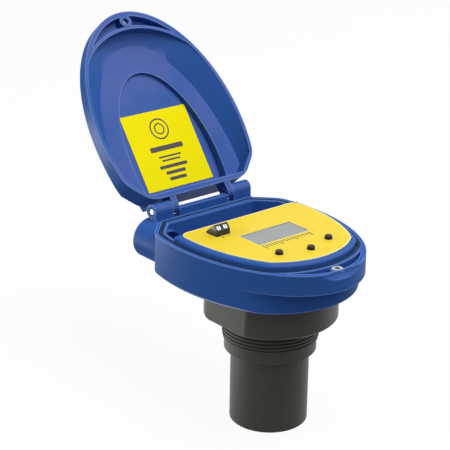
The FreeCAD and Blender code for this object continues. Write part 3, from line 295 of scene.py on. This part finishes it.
def skin_group():
    """Moulded skin with slow changes of shade and gloss, fine grain and outer edges paled by a painted
    highlight.

    Faces that look the way of the open lid's inside can carry a clouded painted sheen.
    """
    found = bpy.data.node_groups.get("moulded_skin")
    if found:
        return found
    tree, start, end = new_group(
        "moulded_skin",
        [("Colour", "NodeSocketColor", (0.5, 0.5, 0.5, 1.0)), ("Shade", "NodeSocketFloat", 0.06),
         ("Roughness", "NodeSocketFloat", 0.4), ("Gloss Change", "NodeSocketFloat", 0.08),
         ("Grain Scale", "NodeSocketFloat", 2500.0), ("Flow Scale", "NodeSocketFloat", 18.0),
         ("Edge Lift", "NodeSocketFloat", 0.0), ("Edge Width", "NodeSocketFloat", 0.001),
         ("Edge Colour", "NodeSocketColor", (0.5, 0.5, 0.5, 1.0)),
         ("Bloom", "NodeSocketFloat", 0.0), ("Bloom Colour", "NodeSocketColor", (0.8, 0.5, 0.65, 1.0))],
        [("Colour", "NodeSocketColor"), ("Roughness", "NodeSocketFloat"), ("Height", "NodeSocketFloat")])
    spot = add_node(tree, "ShaderNodeTexCoord")
    place = spot.outputs["Object"]
    flow = add_node(tree, "ShaderNodeTexNoise", {"Vector": place, "Scale": start.outputs["Flow Scale"],
                                                 "Detail": 3.0, "Roughness": 0.55}).outputs[0]
    grain = add_node(tree, "ShaderNodeTexNoise", {"Vector": place, "Scale": start.outputs["Grain Scale"],
                                                  "Detail": 2.0, "Roughness": 0.6}).outputs[0]
    drift = math_node(tree, "SUBTRACT", flow, 0.5)
    speck = math_node(tree, "SUBTRACT", grain, 0.5)
    both = math_node(tree, "ADD", drift, math_node(tree, "MULTIPLY", speck, SPECK_SHARE))
    # Painted highlight: near outer edges, where rays inside the mesh meet its other side within the edge
    # width, the colour blends towards the edge colour.
    depth = add_node(tree, "ShaderNodeAmbientOcclusion", {"Distance": start.outputs["Edge Width"]},
                     samples=MASK_SAMPLES, inside=True, only_local=True).outputs["AO"]
    edge = math_node(tree, "MULTIPLY", math_node(tree, "SUBTRACT", 1.0, depth), start.outputs["Edge Lift"])
    gain = math_node(tree, "ADD", math_node(tree, "MULTIPLY", both, start.outputs["Shade"]), 1.0)
    tinted = add_node(tree, "ShaderNodeVectorMath", {0: start.outputs["Colour"]}, operation="SCALE")
    tree.links.new(gain, tinted.inputs["Scale"])
    gloss = math_node(tree, "ADD", math_node(tree, "MULTIPLY", both, start.outputs["Gloss Change"]),
                      start.outputs["Roughness"])
    # Painted sheen: faces turned the way of the open lid's inside blend, in cloudy patches, towards a pale
    # pink.
    facing = add_node(tree, "ShaderNodeVectorMath", {0: spot.outputs["Normal"], 1: LID_FACING},
                      operation="DOT_PRODUCT").outputs["Value"]
    level = add_node(tree, "ShaderNodeMapRange", {"Value": facing, "From Min": PAINTED_SHEEN_START,
                                                  "From Max": 1.0}).outputs[0]
    facing_sheen = math_node(tree, "MULTIPLY", level, start.outputs["Bloom"])
    sheen_noise = add_node(tree, "ShaderNodeTexNoise", {"Vector": place, "W": CLOUD_SEED, "Detail": 3.0,
                                                   "Scale": start.outputs["Flow Scale"]},
                      noise_dimensions="4D").outputs[0]
    clouds = add_node(tree, "ShaderNodeMapRange", {"Value": sheen_noise, "From Min": CLOUD_LOW,
                                                   "From Max": CLOUD_HIGH, "To Min": CLOUD_THIN,
                                                   "To Max": CLOUD_THICK}).outputs[0]
    patchy_sheen = math_node(tree, "MULTIPLY", facing_sheen, clouds)
    painted_edge_highlight = mix_node(tree, edge, tinted.outputs[0], start.outputs["Edge Colour"])
    sheened = mix_node(tree, patchy_sheen, painted_edge_highlight, start.outputs["Bloom Colour"])
    tree.links.new(sheened, end.inputs["Colour"])
    tree.links.new(gloss, end.inputs["Roughness"])
    tree.links.new(grain, end.inputs["Height"])
    return tree


def new_material(name):
    material = bpy.data.materials.new(name)
    material.use_nodes = True
    shader = next(node for node in material.node_tree.nodes if node.type == "BSDF_PRINCIPLED")
    return material, material.node_tree, shader


def add_bump(tree, shader, height, strength, distance):
    bump = add_node(tree, "ShaderNodeBump", {"Height": height, "Strength": strength, "Distance": distance})
    tree.links.new(bump.outputs["Normal"], shader.inputs["Normal"])


# The edge settings paint a highlight on outer edges, and the last setting paints a clouded sheen on faces
# turned like the open lid's inside.
def moulded(name, tint, roughness, shade=0.06, gloss=0.08, grain=2500.0, bump=0.12, specular=0.5, flow=18.0,
            edge=0.0, edge_width=0.001, edge_highlight_tint=(0.5, 0.5, 0.5), painted_sheen=0.0):
    """A moulded plastic, rubber or lacquer with its own grain."""
    material, tree, shader = new_material(name)
    values = {"Colour": (*tint, 1.0), "Shade": shade, "Roughness": roughness, "Gloss Change": gloss,
              "Grain Scale": grain, "Flow Scale": flow, "Edge Lift": edge, "Edge Width": edge_width,
              "Edge Colour": (*edge_highlight_tint, 1.0), "Bloom": painted_sheen}
    skin = add_node(tree, "ShaderNodeGroup", values, node_tree=skin_group())
    tree.links.new(skin.outputs["Colour"], shader.inputs["Base Color"])
    tree.links.new(skin.outputs["Roughness"], shader.inputs["Roughness"])
    shader.inputs["Specular IOR Level"].default_value = specular
    add_bump(tree, shader, skin.outputs["Height"], bump, GRAIN_DEPTH)
    return material


def metal(name, tint, roughness, scratch, metallic=1.0):
    """A bare or plated metal with fine turning lines, darkened in its hollows as a painted shade."""
    material, tree, shader = new_material(name)
    place = add_node(tree, "ShaderNodeTexCoord").outputs["Object"]
    lines = add_node(tree, "ShaderNodeTexNoise", {"Vector": place, "Scale": scratch,
                                                  "Detail": 3.0}).outputs[0]
    values = {"Colour": (*tint, 1.0), "Shade": 0.25, "Roughness": roughness, "Gloss Change": 0.2,
              "Flow Scale": scratch / SCRATCHES_IN_FLOW}
    skin = add_node(tree, "ShaderNodeGroup", values, node_tree=skin_group())
    # Painted shade: where the surface is enclosed within the hollow reach, the colour darkens towards
    # near-black.
    hollow = add_node(tree, "ShaderNodeAmbientOcclusion", {"Distance": HOLLOW_REACH}, samples=MASK_SAMPLES,
                      only_local=True)
    open_air = math_node(tree, "POWER", hollow.outputs["AO"], HOLLOW_POWER)
    hollow_shaded = mix_node(tree, open_air, HOLLOW_SHADE, skin.outputs["Colour"])
    tree.links.new(hollow_shaded, shader.inputs["Base Color"])
    tree.links.new(skin.outputs["Roughness"], shader.inputs["Roughness"])
    shader.inputs["Metallic"].default_value = metallic
    add_bump(tree, shader, lines, 0.15, SCRATCH_DEPTH)
    return material


def scaled(tint, share):
    """A darker or paler tone of a colour."""
    return tuple(min(1.0, share * part) for part in tint)


def clad(material, *names):
    """Give CAD nodes a finish."""
    for name in names:
        mesh = NODES[name].data
        mesh.materials.clear()
        mesh.materials.append(material)


def soften(width, *names):
    """Round the sharp edges of CAD nodes as a mould does, and shade them smoothly."""
    for name in names:
        node = NODES[name]
        weld = node.modifiers.new("joined_facets", "WELD")
        weld.merge_threshold = WELD_REACH
        edge = node.modifiers.new("mould_edges", "BEVEL")
        edge.width = width
        edge.segments = 2
        edge.limit_method = "ANGLE"
        edge.angle_limit = EDGE_ANGLE
        edge.use_clamp_overlap = True
        edge.miter_outer = "MITER_ARC"
        normals = node.modifiers.new("even_shading", "WEIGHTED_NORMAL")
        normals.keep_sharp = False
        normals.weight = 60


def new_piece(name, mesh, material, body, smooth_angle=None):
    """Hand a mesh over as a piece that moves with a body."""
    mesh.materials.append(material)
    piece = bpy.data.objects.new(name, mesh)
    bpy.context.scene.collection.objects.link(piece)
    if smooth_angle is not None:
        mesh.polygons.foreach_set("use_smooth", [True] * len(mesh.polygons))
        mesh.set_sharp_from_angle(angle=smooth_angle)
    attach(piece, body)
    return piece


# Threads

def ridge(crest, root, foot, top):
    """The profile of one ridge, as a list of (part of the pitch, radius at full height, radius at rest)."""
    return [(0.0, root, root), (foot, root, root), (top, crest, root), (1.0 - top, crest, root),
            (1.0 - foot, root, root)]


def helix_mesh(name, profile, pitch, stop, steps, place, taper=0.0):
    """Ridges wound round an axis from level 0 to the stop, which die out near both ends."""
    turns = math.ceil(stop / pitch) + 1

    def radius(full, rest, level):
        fade = min(1.0, level / (FADE_SHARE * pitch), (stop - level) / (FADE_SHARE * pitch))
        fade = max(0.0, fade)
        return rest + (full - rest) * fade - taper * level

    bm = bmesh.new()
    rows = [(turn + part, full, rest) for turn in range(-1, turns) for part, full, rest in profile]
    columns = []
    for step in range(steps + 1):
        angle = 2.0 * math.pi * step / steps
        column = []
        for row, full, rest in rows:
            level = pitch * (row + step / steps)
            level = min(max(level, 0.0), stop)
            reach = radius(full, rest, level)
            spot = Vector((reach * math.cos(angle), reach * math.sin(angle), level))
            column.append(bm.verts.new(place @ spot))
        columns.append(column)
    for left, right in zip(columns, columns[1:]):
        for index in range(len(rows) - 1):
            bm.faces.new((left[index], right[index], right[index + 1], left[index + 1]))
    bmesh.ops.remove_doubles(bm, verts=bm.verts, dist=MERGE_REACH)
    bmesh.ops.dissolve_degenerate(bm, edges=bm.edges, dist=MERGE_REACH)
    bmesh.ops.recalc_face_normals(bm, faces=bm.faces)
    mesh = bpy.data.meshes.new(name)
    bm.to_mesh(mesh)
    bm.free()
    return mesh


class TRANSMITTER_OT_process_thread(Operator):
    """Wind the pipe thread under the flange"""

    bl_idname = "transmitter.process_thread"
    bl_label = "Process thread"

    def execute(self, context):
        sizes = context.scene.transmitter_threads
        profile = ridge(sizes.process_crest, sizes.process_root, PROCESS_FOOT, PROCESS_TOP)
        down = Matrix.Rotation(math.pi, 4, "X")
        mesh = helix_mesh("process_thread", profile, sizes.process_pitch, sizes.process_length, sizes.steps,
                          down, sizes.process_taper)
        new_piece("process_thread", mesh, bpy.data.materials["dark_grey_thread"], "base",
                  THREAD_SMOOTHING)
        return {"FINISHED"}


class TRANSMITTER_OT_conduit_thread(Operator):
    """Wind the pipe thread inside the conduit entry"""

    bl_idname = "transmitter.conduit_thread"
    bl_label = "Conduit thread"

    def execute(self, context):
        sizes = context.scene.transmitter_threads
        mount = next(entry for entry in frame["record"]["mounts"] if entry["name"] == "conduit_entry")
        profile = ridge(sizes.conduit_crest, sizes.conduit_root, CONDUIT_FOOT, CONDUIT_TOP)
        mouth = Vector(mount["pos_m"])
        mouth.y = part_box("housing")[1].y - ENTRY_LEAD
        inward = Matrix.Translation(mouth) @ Matrix.Rotation(math.pi / 2.0, 4, "X")
        mesh = helix_mesh("conduit_thread", profile, sizes.conduit_pitch, sizes.conduit_length, sizes.steps,
                          inward)
        mesh.flip_normals()
        new_piece("conduit_thread", mesh, bpy.data.materials["blue_moulding"], "base",
                  THREAD_SMOOTHING)
        return {"FINISHED"}


# Finishes

class TRANSMITTER_OT_blue_mouldings(Operator):
    """Finish the housing, the lid and the deck"""

    bl_idname = "transmitter.blue_mouldings"
    bl_label = "Blue mouldings"

    def execute(self, context):
        tint = context.scene.transmitter_finishes.blue
        # Painted highlight on the outer edges of housing, lid, deck and polished foot, and a painted sheen
        # inside the lid.
        painted_edge_highlight = {"edge": 1.2, "edge_highlight_tint": (0.2, 0.33, 0.75)}
        blue = moulded("blue_moulding", tint, roughness=0.4, shade=0.1, gloss=0.1, bump=0.1, specular=0.012,
                       painted_sheen=0.055, **painted_edge_highlight)
        clad(blue, "housing", "lid", "panel_deck")
        polished = moulded("polished_edges", tint, roughness=0.3, shade=0.1, gloss=0.05, bump=0.02,
                           specular=0.6, **painted_edge_highlight)
        self.polish_foot(polished)
        soften(SHELL_EDGE, "housing", "lid")
        soften(DECK_EDGE, "panel_deck")
        NODES["housing"].modifiers["mould_edges"].material = POLISHED_SLOT
        return {"FINISHED"}

    def polish_foot(self, material):
        """Polish the chamfer round the foot of the housing, which stands on the flange."""
        mesh = NODES["housing"].data
        mesh.materials.append(material)
        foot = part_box("body_seal")[1].z
        for polygon in mesh.polygons:
            slanted = FOOT_FLATTEST < polygon.normal.z < FOOT_STEEPEST
            if slanted and abs(polygon.center.z - foot) < FOOT_REACH:
                polygon.material_index = POLISHED_SLOT


class TRANSMITTER_OT_transducer(Operator):
    """Finish the transducer moulding and what lies inside it"""

    bl_idname = "transmitter.transducer"
    bl_label = "Transducer"

    def execute(self, context):
        tints = context.scene.transmitter_finishes
        # The grey's outer edges carry a painted highlight.
        grey = moulded("dark_grey_moulding", tints.grey, roughness=0.45, shade=0.16, gloss=0.12, bump=0.14,
                       specular=0.15, edge=0.6, edge_highlight_tint=(0.16, 0.15, 0.14))
        # The thread's grey is darkened to 0.4 of the body's as a painted shade under the flange.
        moulded("dark_grey_thread", scaled(tints.grey, 0.4), roughness=0.5, shade=0.2, bump=0.1, specular=0.1)
        clad(grey, "transducer_body", "retaining_nut")
        soften(BODY_EDGE, "transducer_body", "retaining_nut")
        rubber = moulded("black_rubber", tints.rubber, roughness=0.7, shade=0.3, bump=0.3, specular=0.3)
        clad(rubber, "body_seal", "damping_block")
        # Dark rubber with a painted reflection of the blue round it.
        seal = moulded("seal_rubber", tints.seal, roughness=0.6, shade=0.3, bump=0.3, specular=0.1)
        clad(seal, "lid_gasket")
        soften(SEAL_EDGE, "lid_gasket")
        ceramic = moulded("sintered_ceramic", tints.ceramic, roughness=0.55, shade=0.1, grain=4000.0)
        clad(ceramic, "piezo_disc")
        resin = moulded("filled_resin", tints.matching, roughness=0.6, shade=0.2, grain=1200.0)
        clad(resin, "matching_layer")
        clad(moulded("lead_insulation", tints.lead, roughness=0.4), "transducer_leads")
        return {"FINISHED"}


class TRANSMITTER_OT_panel(Operator):
    """Finish the panel film, the display, the buttons and the terminal"""

    bl_idname = "transmitter.panel"
    bl_label = "Panel"

    def execute(self, context):
        tints = context.scene.transmitter_finishes
        # The film's outer edges carry a painted highlight in pale cream.
        film = moulded("yellow_film", tints.film, roughness=0.3, shade=0.05, gloss=0.06, grain=5000.0,
                       bump=0.06, specular=0.1, edge=1.6, edge_width=0.00042, edge_highlight_tint=(1.0, 0.95, 0.6))
        clad(film, "panel_overlay")
        pane = moulded("display_pane", tints.pane, roughness=0.16, shade=0.12, gloss=0.05, bump=0.02,
                       flow=60.0)
        clad(pane, "display_window")
        clad(moulded("display_module", tints.display, roughness=0.4, shade=0.1), "display_module")
        cap = moulded("button_cap", tints.button, roughness=0.4, shade=0.3, specular=0.2)
        clad(cap, "button_left", "button_middle", "button_right")
        black = moulded("black_moulding", tints.black, roughness=0.4, shade=0.3)
        clad(black, "terminal_block", "switch_bodies")
        soften(TERMINAL_EDGE, "terminal_block")
        return {"FINISHED"}


class TRANSMITTER_OT_electronics(Operator):
    """Finish the circuit board and its parts"""

    bl_idname = "transmitter.electronics"
    bl_label = "Electronics"

    def execute(self, context):
        tints = context.scene.transmitter_finishes
        lacquer = moulded("board_lacquer", tints.board, roughness=0.35, shade=0.3, grain=900.0, flow=120.0)
        clad(lacquer, "main_board")
        clad(moulded("part_casings", tints.black, roughness=0.5, shade=0.5, flow=90.0), "board_components")
        return {"FINISHED"}


class TRANSMITTER_OT_metalwork(Operator):
    """Finish the pins, the insert, the screws and the clamps"""

    bl_idname = "transmitter.metalwork"
    bl_label = "Metalwork"

    def execute(self, context):
        tint = context.scene.transmitter_finishes.steel
        zinc = context.scene.transmitter_finishes.zinc
        turned = {"scratch": TURNING_SCALE}
        clad(metal("turned_steel", tint, roughness=0.3, **turned), "board_screws")
        clad(metal("white_zinc", zinc, roughness=0.5, metallic=0.3, **turned), "lid_screw")
        clad(metal("dull_steel", scaled(tint, 0.9), roughness=0.5, **turned), "lid_insert")
        clad(self.pin_steel(tint), "hinge_pins")
        plated = metal("plated_steel", scaled(tint, 1.3), roughness=0.38, scratch=PLATING_SCALE)
        clad(plated, "terminal_screws", "terminal_clamps")
        return {"FINISHED"}

    def pin_steel(self, tint):
        """Steel painted nearly black along the pin as a shade, bright only at the peened outer ends."""
        material = metal("pin_steel", tint, roughness=0.8, scratch=TURNING_SCALE)
        tree = material.node_tree
        shader = next(node for node in tree.nodes if node.type == "BSDF_PRINCIPLED")
        place = add_node(tree, "ShaderNodeTexCoord").outputs["Object"]
        across = add_node(tree, "ShaderNodeSeparateXYZ", {0: place}).outputs["X"]
        outward = math_node(tree, "ABSOLUTE", across)
        peened = math_node(tree, "GREATER_THAN", outward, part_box("hinge_pins")[1].x - PEENED_LENGTH)
        bright = shader.inputs["Base Color"].links[0].from_socket
        # Painted shade along the pin inside the knuckles.
        mixed = mix_node(tree, peened, PIN_SHADE, bright)
        tree.links.new(mixed, shader.inputs["Base Color"])
        return material


# Print

def bar(bm, left, right, low, high, thickness, place):
    """A flat printed bar with cut corners, lying on its sheet."""
    cut = min(right - left, high - low) * CUT_SHARE
    outline = [(left + cut, low), (right - cut, low), (right, low + cut), (right, high - cut),
               (right - cut, high), (left + cut, high), (left, high - cut), (left, low + cut)]
    base = [bm.verts.new(place @ Vector((x, y, 0.0))) for x, y in outline]
    top = [bm.verts.new(place @ Vector((x, y, thickness))) for x, y in outline]
    bm.faces.new(top)
    for index in range(len(outline)):
        after = (index + 1) % len(outline)
        bm.faces.new((base[index], base[after], top[after], top[index]))


def ring(bm, centre, radius, width, thickness, place, steps=64):
    """A flat printed ring."""
    loops = []
    inner = radius - width
    for reach, level in ((radius, 0.0), (radius, thickness), (inner, thickness), (inner, 0.0)):
        loop = []
        for step in range(steps):
            angle = 2.0 * math.pi * step / steps
            spot = Vector((centre[0] + reach * math.cos(angle), centre[1] + reach * math.sin(angle), level))
            loop.append(bm.verts.new(place @ spot))
        loops.append(loop)
    for lower, upper in zip(loops, loops[1:]):
        for index in range(steps):
            after = (index + 1) % steps
            bm.faces.new((lower[index], lower[after], upper[after], upper[index]))


def finish_print(name, bm, body, material="dark_ink"):
    bmesh.ops.recalc_face_normals(bm, faces=bm.faces)
    mesh = bpy.data.meshes.new(name)
    bm.to_mesh(mesh)
    bm.free()
    return new_piece(name, mesh, bpy.data.materials[material], body)


def film_outline():
    """The outer edge of the panel film's upper face, point by point."""
    bm = bmesh.new()
    bm.from_mesh(NODES["panel_overlay"].data)
    bmesh.ops.remove_doubles(bm, verts=bm.verts, dist=MERGE_REACH)
    upper = {face for face in bm.faces if face.normal.z > UPWARD}
    rim = [edge for edge in bm.edges if sum(face in upper for face in edge.link_faces) == 1]
    beside = {}
    for edge in rim:
        first, second = edge.verts
        beside.setdefault(first, []).append(second)
        beside.setdefault(second, []).append(first)
    start = min(beside, key=lambda vertex: vertex.co.x)
    outline = [start]
    step = beside[start][0]
    while step is not start:
        near = beside[step]
        after = near[0] if near[1] is outline[-1] else near[1]
        outline.append(step)
        step = after
    points = [vertex.co.copy() for vertex in outline]
    bm.free()
    return points


def band(bm, outline, width, thickness):
    """A flat band, as thin as print, along the inside of a closed outline."""
    middle = sum(outline, Vector()) / len(outline)
    count = len(outline)
    loops = [[], [], [], []]
    for index, spot in enumerate(outline):
        along = outline[(index + 1) % count] - outline[index - 1]
        inward = Vector((-along.y, along.x, 0.0)).normalized()
        if inward.dot(middle - spot) < 0.0:
            inward = -inward
        inner = spot + inward * width
        rise = Vector((0.0, 0.0, thickness))
        for loop, place in zip(loops, (spot, spot + rise, inner + rise, inner)):
            loop.append(bm.verts.new(place))
    for lower, higher in zip(loops, loops[1:]):
        for index in range(count):
            after = (index + 1) % count
            bm.faces.new((lower[index], lower[after], higher[after], higher[index]))


def label_face():
    """The label's inner face: a frame at its middle with X across, Y towards the tip and Z off the paper."""
    mesh = NODES["lid_label"].data
    inner = [polygon for polygon in mesh.polygons if polygon.normal.y < 0.0]
    normal = max(inner, key=lambda polygon: polygon.area).normal.copy()
    across = Vector((1.0, 0.0, 0.0))
    along = normal.cross(across)
    if along.z < 0.0:
        along = -along
        across = -across
    corners = [vertex.co for vertex in mesh.vertices]
    level = max(corner.dot(normal) for corner in corners)
    reach = [corner.dot(along) for corner in corners if corner.dot(normal) > level - PAPER_REACH]
    sides = [corner.x for corner in corners]
    middle_x = (min(sides) + max(sides)) / 2.0
    middle = along * ((min(reach) + max(reach)) / 2.0) + normal * level + Vector((middle_x, 0.0, 0.0))
    turn = Matrix((across, along, normal)).transposed().to_4x4()
    half_wide = (max(sides) - min(sides)) / 2.0
    half_long = (max(reach) - min(reach)) / 2.0
    return Matrix.Translation(middle) @ turn, half_wide, half_long


class TRANSMITTER_OT_label(Operator):
    """Finish the label in the lid with a plain double ring and ruled bars"""

    bl_idname = "transmitter.label"
    bl_label = "Label"

    def execute(self, context):
        tints = context.scene.transmitter_finishes
        sizes = context.scene.transmitter_print
        paper = moulded("label_paper", tints.label, roughness=0.6, grain=3500.0, bump=0.08, specular=0.03)
        clad(paper, "lid_label")
        moulded("dark_ink", tints.ink, roughness=0.5, shade=0.3, gloss=0.1, grain=4000.0, bump=0.05)
        place, half_wide, half_long = label_face()
        bm = bmesh.new()
        deep = sizes.thickness
        for share in (1.0, INNER_RING):
            ring(bm, (0.0, half_long * RING_LEVEL), sizes.ring * share, sizes.line * RING_LINE, deep, place)
        for level, reach, height in LABEL_BARS:
            middle = half_long * level
            half = half_wide * reach
            bar(bm, -half, half, middle - height / 2.0, middle + height / 2.0, deep, place)
        finish_print("label_print", bm, "cover")
        return {"FINISHED"}


class TRANSMITTER_OT_panel_print(Operator):
    """Print a plain scale under the display and two polarity signs by the terminal, and lay a pale band round
    the film as a painted highlight
    """

    bl_idname = "transmitter.panel_print"
    bl_label = "Panel print"

    def execute(self, context):
        sizes = context.scene.transmitter_print
        tints = context.scene.transmitter_finishes
        window_low, window_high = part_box("display_window")
        block_low, block_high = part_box("terminal_block")
        place = Matrix.Translation((0.0, 0.0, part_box("panel_overlay")[1].z))
        deep = sizes.thickness
        bm = bmesh.new()
        first = window_low.x + SCALE_LEFT
        last = window_high.x - SCALE_RIGHT
        top = window_low.y - SCALE_GAP
        for tick in range(TICKS + 1):
            x = first + (last - first) * tick / TICKS
            tall = SHORT_TICK if tick % TICKS_PER_LONG else LONG_TICK
            bar(bm, x - TICK_HALF, x + TICK_HALF, top - tall, top, deep, place)
        middle = (block_low.x + block_high.x) / 2.0
        front = block_low.y - SIGN_GAP
        plus = middle - POLE_OFFSET
        for pole in (plus, middle + POLE_OFFSET):
            bar(bm, pole - SIGN_HALF, pole + SIGN_HALF, front - SIGN_LINE, front + SIGN_LINE, deep, place)
        bar(bm, plus - SIGN_LINE, plus + SIGN_LINE, front - SIGN_HALF, front - SIGN_LINE, deep, place)
        bar(bm, plus - SIGN_LINE, plus + SIGN_LINE, front + SIGN_LINE, front + SIGN_HALF, deep, place)
        finish_print("panel_print", bm, "base")
        # A pale band along the film's edge, a painted highlight.
        moulded("pale_ink", tints.highlight_band, roughness=0.5, shade=0.1, gloss=0.1, grain=4000.0, bump=0.05,
                specular=0.1)
        bm = bmesh.new()
        band(bm, film_outline(), sizes.highlight_band, deep)
        finish_print("panel_border", bm, "base", "pale_ink")
        return {"FINISHED"}


# Stage

def area_light(name, power, size, spot):
    """A round lamp that looks at the object."""
    data = bpy.data.lights.new(name, "AREA")
    data.energy = power
    data.shape = "DISK"
    data.size = size
    lamp = bpy.data.objects.new(name, data)
    bpy.context.scene.collection.objects.link(lamp)
    lamp.location = spot
    lamp.rotation_mode = "QUATERNION"
    lamp.rotation_quaternion = (Vector(AIM) - Vector(spot)).to_track_quat("-Z", "Y")
    return lamp


def seen_directly(tree):
    """1 where the camera, a reflection or glass looks straight at a surface."""
    path = add_node(tree, "ShaderNodeLightPath")
    mirrored = math_node(tree, "MAXIMUM", path.outputs["Is Glossy Ray"], path.outputs["Is Transmission Ray"])
    return math_node(tree, "MAXIMUM", path.outputs["Is Camera Ray"], mirrored)


class TRANSMITTER_OT_stage(Operator):
    """Set up the floor, the light and the camera"""

    bl_idname = "transmitter.stage"
    bl_label = "Stage"

    def execute(self, context):
        scene = context.scene
        stage = scene.transmitter_stage
        scene.view_settings.view_transform = "Standard"
        self.make_floor()
        self.make_world(scene, stage.ambient)
        for name, power, size, spot in LAMPS:
            area_light(name, getattr(stage, power), size, spot)
        for name, power, size, spot in REFLECTED_LAMPS:
            panel = area_light(name, getattr(stage, power), size, spot)
            panel.visible_diffuse = False
            panel.visible_camera = False
        self.make_camera(scene, stage)
        return {"FINISHED"}

    def make_camera(self, scene, stage):
        data = bpy.data.cameras.new("photo_camera")
        data.lens = stage.lens
        data.sensor_width = 36.0
        data.clip_start = 0.01
        data.clip_end = 50.0
        camera = bpy.data.objects.new("photo_camera", data)
        scene.collection.objects.link(camera)
        turn = stage.azimuth
        rise = stage.elevation
        back = Vector((math.sin(turn) * math.cos(rise), -math.cos(turn) * math.cos(rise), math.sin(rise)))
        right = Vector((math.cos(turn), math.sin(turn), 0.0))
        up = back.cross(right)
        tilt_cos = math.cos(stage.roll)
        tilt_sin = math.sin(stage.roll)
        across = tilt_cos * right + tilt_sin * up
        upward = tilt_cos * up - tilt_sin * right
        camera.matrix_world = (Matrix.Translation(Vector(stage.eye))
                               @ Matrix((across, upward, back)).transposed().to_4x4())
        scene.camera = camera

    def make_floor(self):
        bm = bmesh.new()
        bmesh.ops.create_circle(bm, cap_ends=True, segments=96, radius=6.0)
        mesh = bpy.data.meshes.new("floor")
        bm.to_mesh(mesh)
        bm.free()
        floor = bpy.data.objects.new("floor", mesh)
        bpy.context.scene.collection.objects.link(floor)
        floor.location = (0.0, 0.0, CAD_BOX[0][2] - FLOOR_GAP)
        material, tree, shader = new_material("pale_floor")
        shader.inputs["Base Color"].default_value = FLOOR_TONE
        shader.inputs["Roughness"].default_value = 0.9
        shader.inputs["Specular IOR Level"].default_value = 0.1
        glow = add_node(tree, "ShaderNodeEmission", {"Color": WHITE, "Strength": 1.0})
        pale = add_node(tree, "ShaderNodeMixShader",
                        {0: FLOOR_GLOW, 1: shader.outputs[0], 2: glow.outputs[0]})
        dim = add_node(tree, "ShaderNodeBsdfDiffuse", {"Color": FLOOR_BOUNCE})
        direct = seen_directly(tree)
        mix = add_node(tree, "ShaderNodeMixShader", {0: direct, 1: dim.outputs[0], 2: pale.outputs[0]})
        output = next(node for node in tree.nodes if node.type == "OUTPUT_MATERIAL")
        tree.links.new(mix.outputs[0], output.inputs["Surface"])
        mesh.materials.append(material)

    def make_world(self, scene, ambient):
        world = bpy.data.worlds.new("studio")
        world.use_nodes = True
        scene.world = world
        tree = world.node_tree
        tree.nodes.clear()
        even = add_node(tree, "ShaderNodeBackground", {"Color": WHITE, "Strength": ambient})
        white = add_node(tree, "ShaderNodeBackground", {"Color": WHITE, "Strength": 1.0})
        direct = seen_directly(tree)
        mix = add_node(tree, "ShaderNodeMixShader", {0: direct, 1: even.outputs[0], 2: white.outputs[0]})
        output = add_node(tree, "ShaderNodeOutputWorld")
        tree.links.new(mix.outputs[0], output.inputs["Surface"])


# Panel and registration

class TRANSMITTER_PT_sidebar(Panel):
    """Lists the steps in the sidebar"""

    bl_idname = "TRANSMITTER_PT_sidebar"
    bl_label = "Level transmitter"
    bl_space_type = "VIEW_3D"
    bl_region_type = "UI"
    bl_category = "Transmitter"

    def draw(self, context):
        for step in STEPS:
            self.layout.operator(step.bl_idname)


STEPS = (
    TRANSMITTER_OT_blue_mouldings,
    TRANSMITTER_OT_transducer,
    TRANSMITTER_OT_panel,
    TRANSMITTER_OT_electronics,
    TRANSMITTER_OT_metalwork,
    TRANSMITTER_OT_label,
    TRANSMITTER_OT_panel_print,
    TRANSMITTER_OT_process_thread,
    TRANSMITTER_OT_conduit_thread,
    TRANSMITTER_OT_stage,
)
SETTINGS = {
    "transmitter_finishes": FinishSettings,
    "transmitter_threads": ThreadSettings,
    "transmitter_print": PrintSettings,
    "transmitter_stage": StageSettings,
}


def register():
    for kind in (*SETTINGS.values(), *STEPS, TRANSMITTER_PT_sidebar):
        bpy.utils.register_class(kind)
    for name, kind in SETTINGS.items():
        setattr(bpy.types.Scene, name, PointerProperty(type=kind))


def unregister():
    for name in SETTINGS:
        delattr(bpy.types.Scene, name)
    for kind in (TRANSMITTER_PT_sidebar, *reversed(STEPS), *SETTINGS.values()):
        bpy.utils.unregister_class(kind)


def main():
    register()
    bpy.ops.transmitter.blue_mouldings()
    bpy.ops.transmitter.transducer()
    bpy.ops.transmitter.panel()
    bpy.ops.transmitter.electronics()
    bpy.ops.transmitter.metalwork()
    bpy.ops.transmitter.label()
    bpy.ops.transmitter.panel_print()
    bpy.ops.transmitter.process_thread()
    bpy.ops.transmitter.conduit_thread()
    bpy.ops.transmitter.stage()


if __name__ == "__main__":
    main()
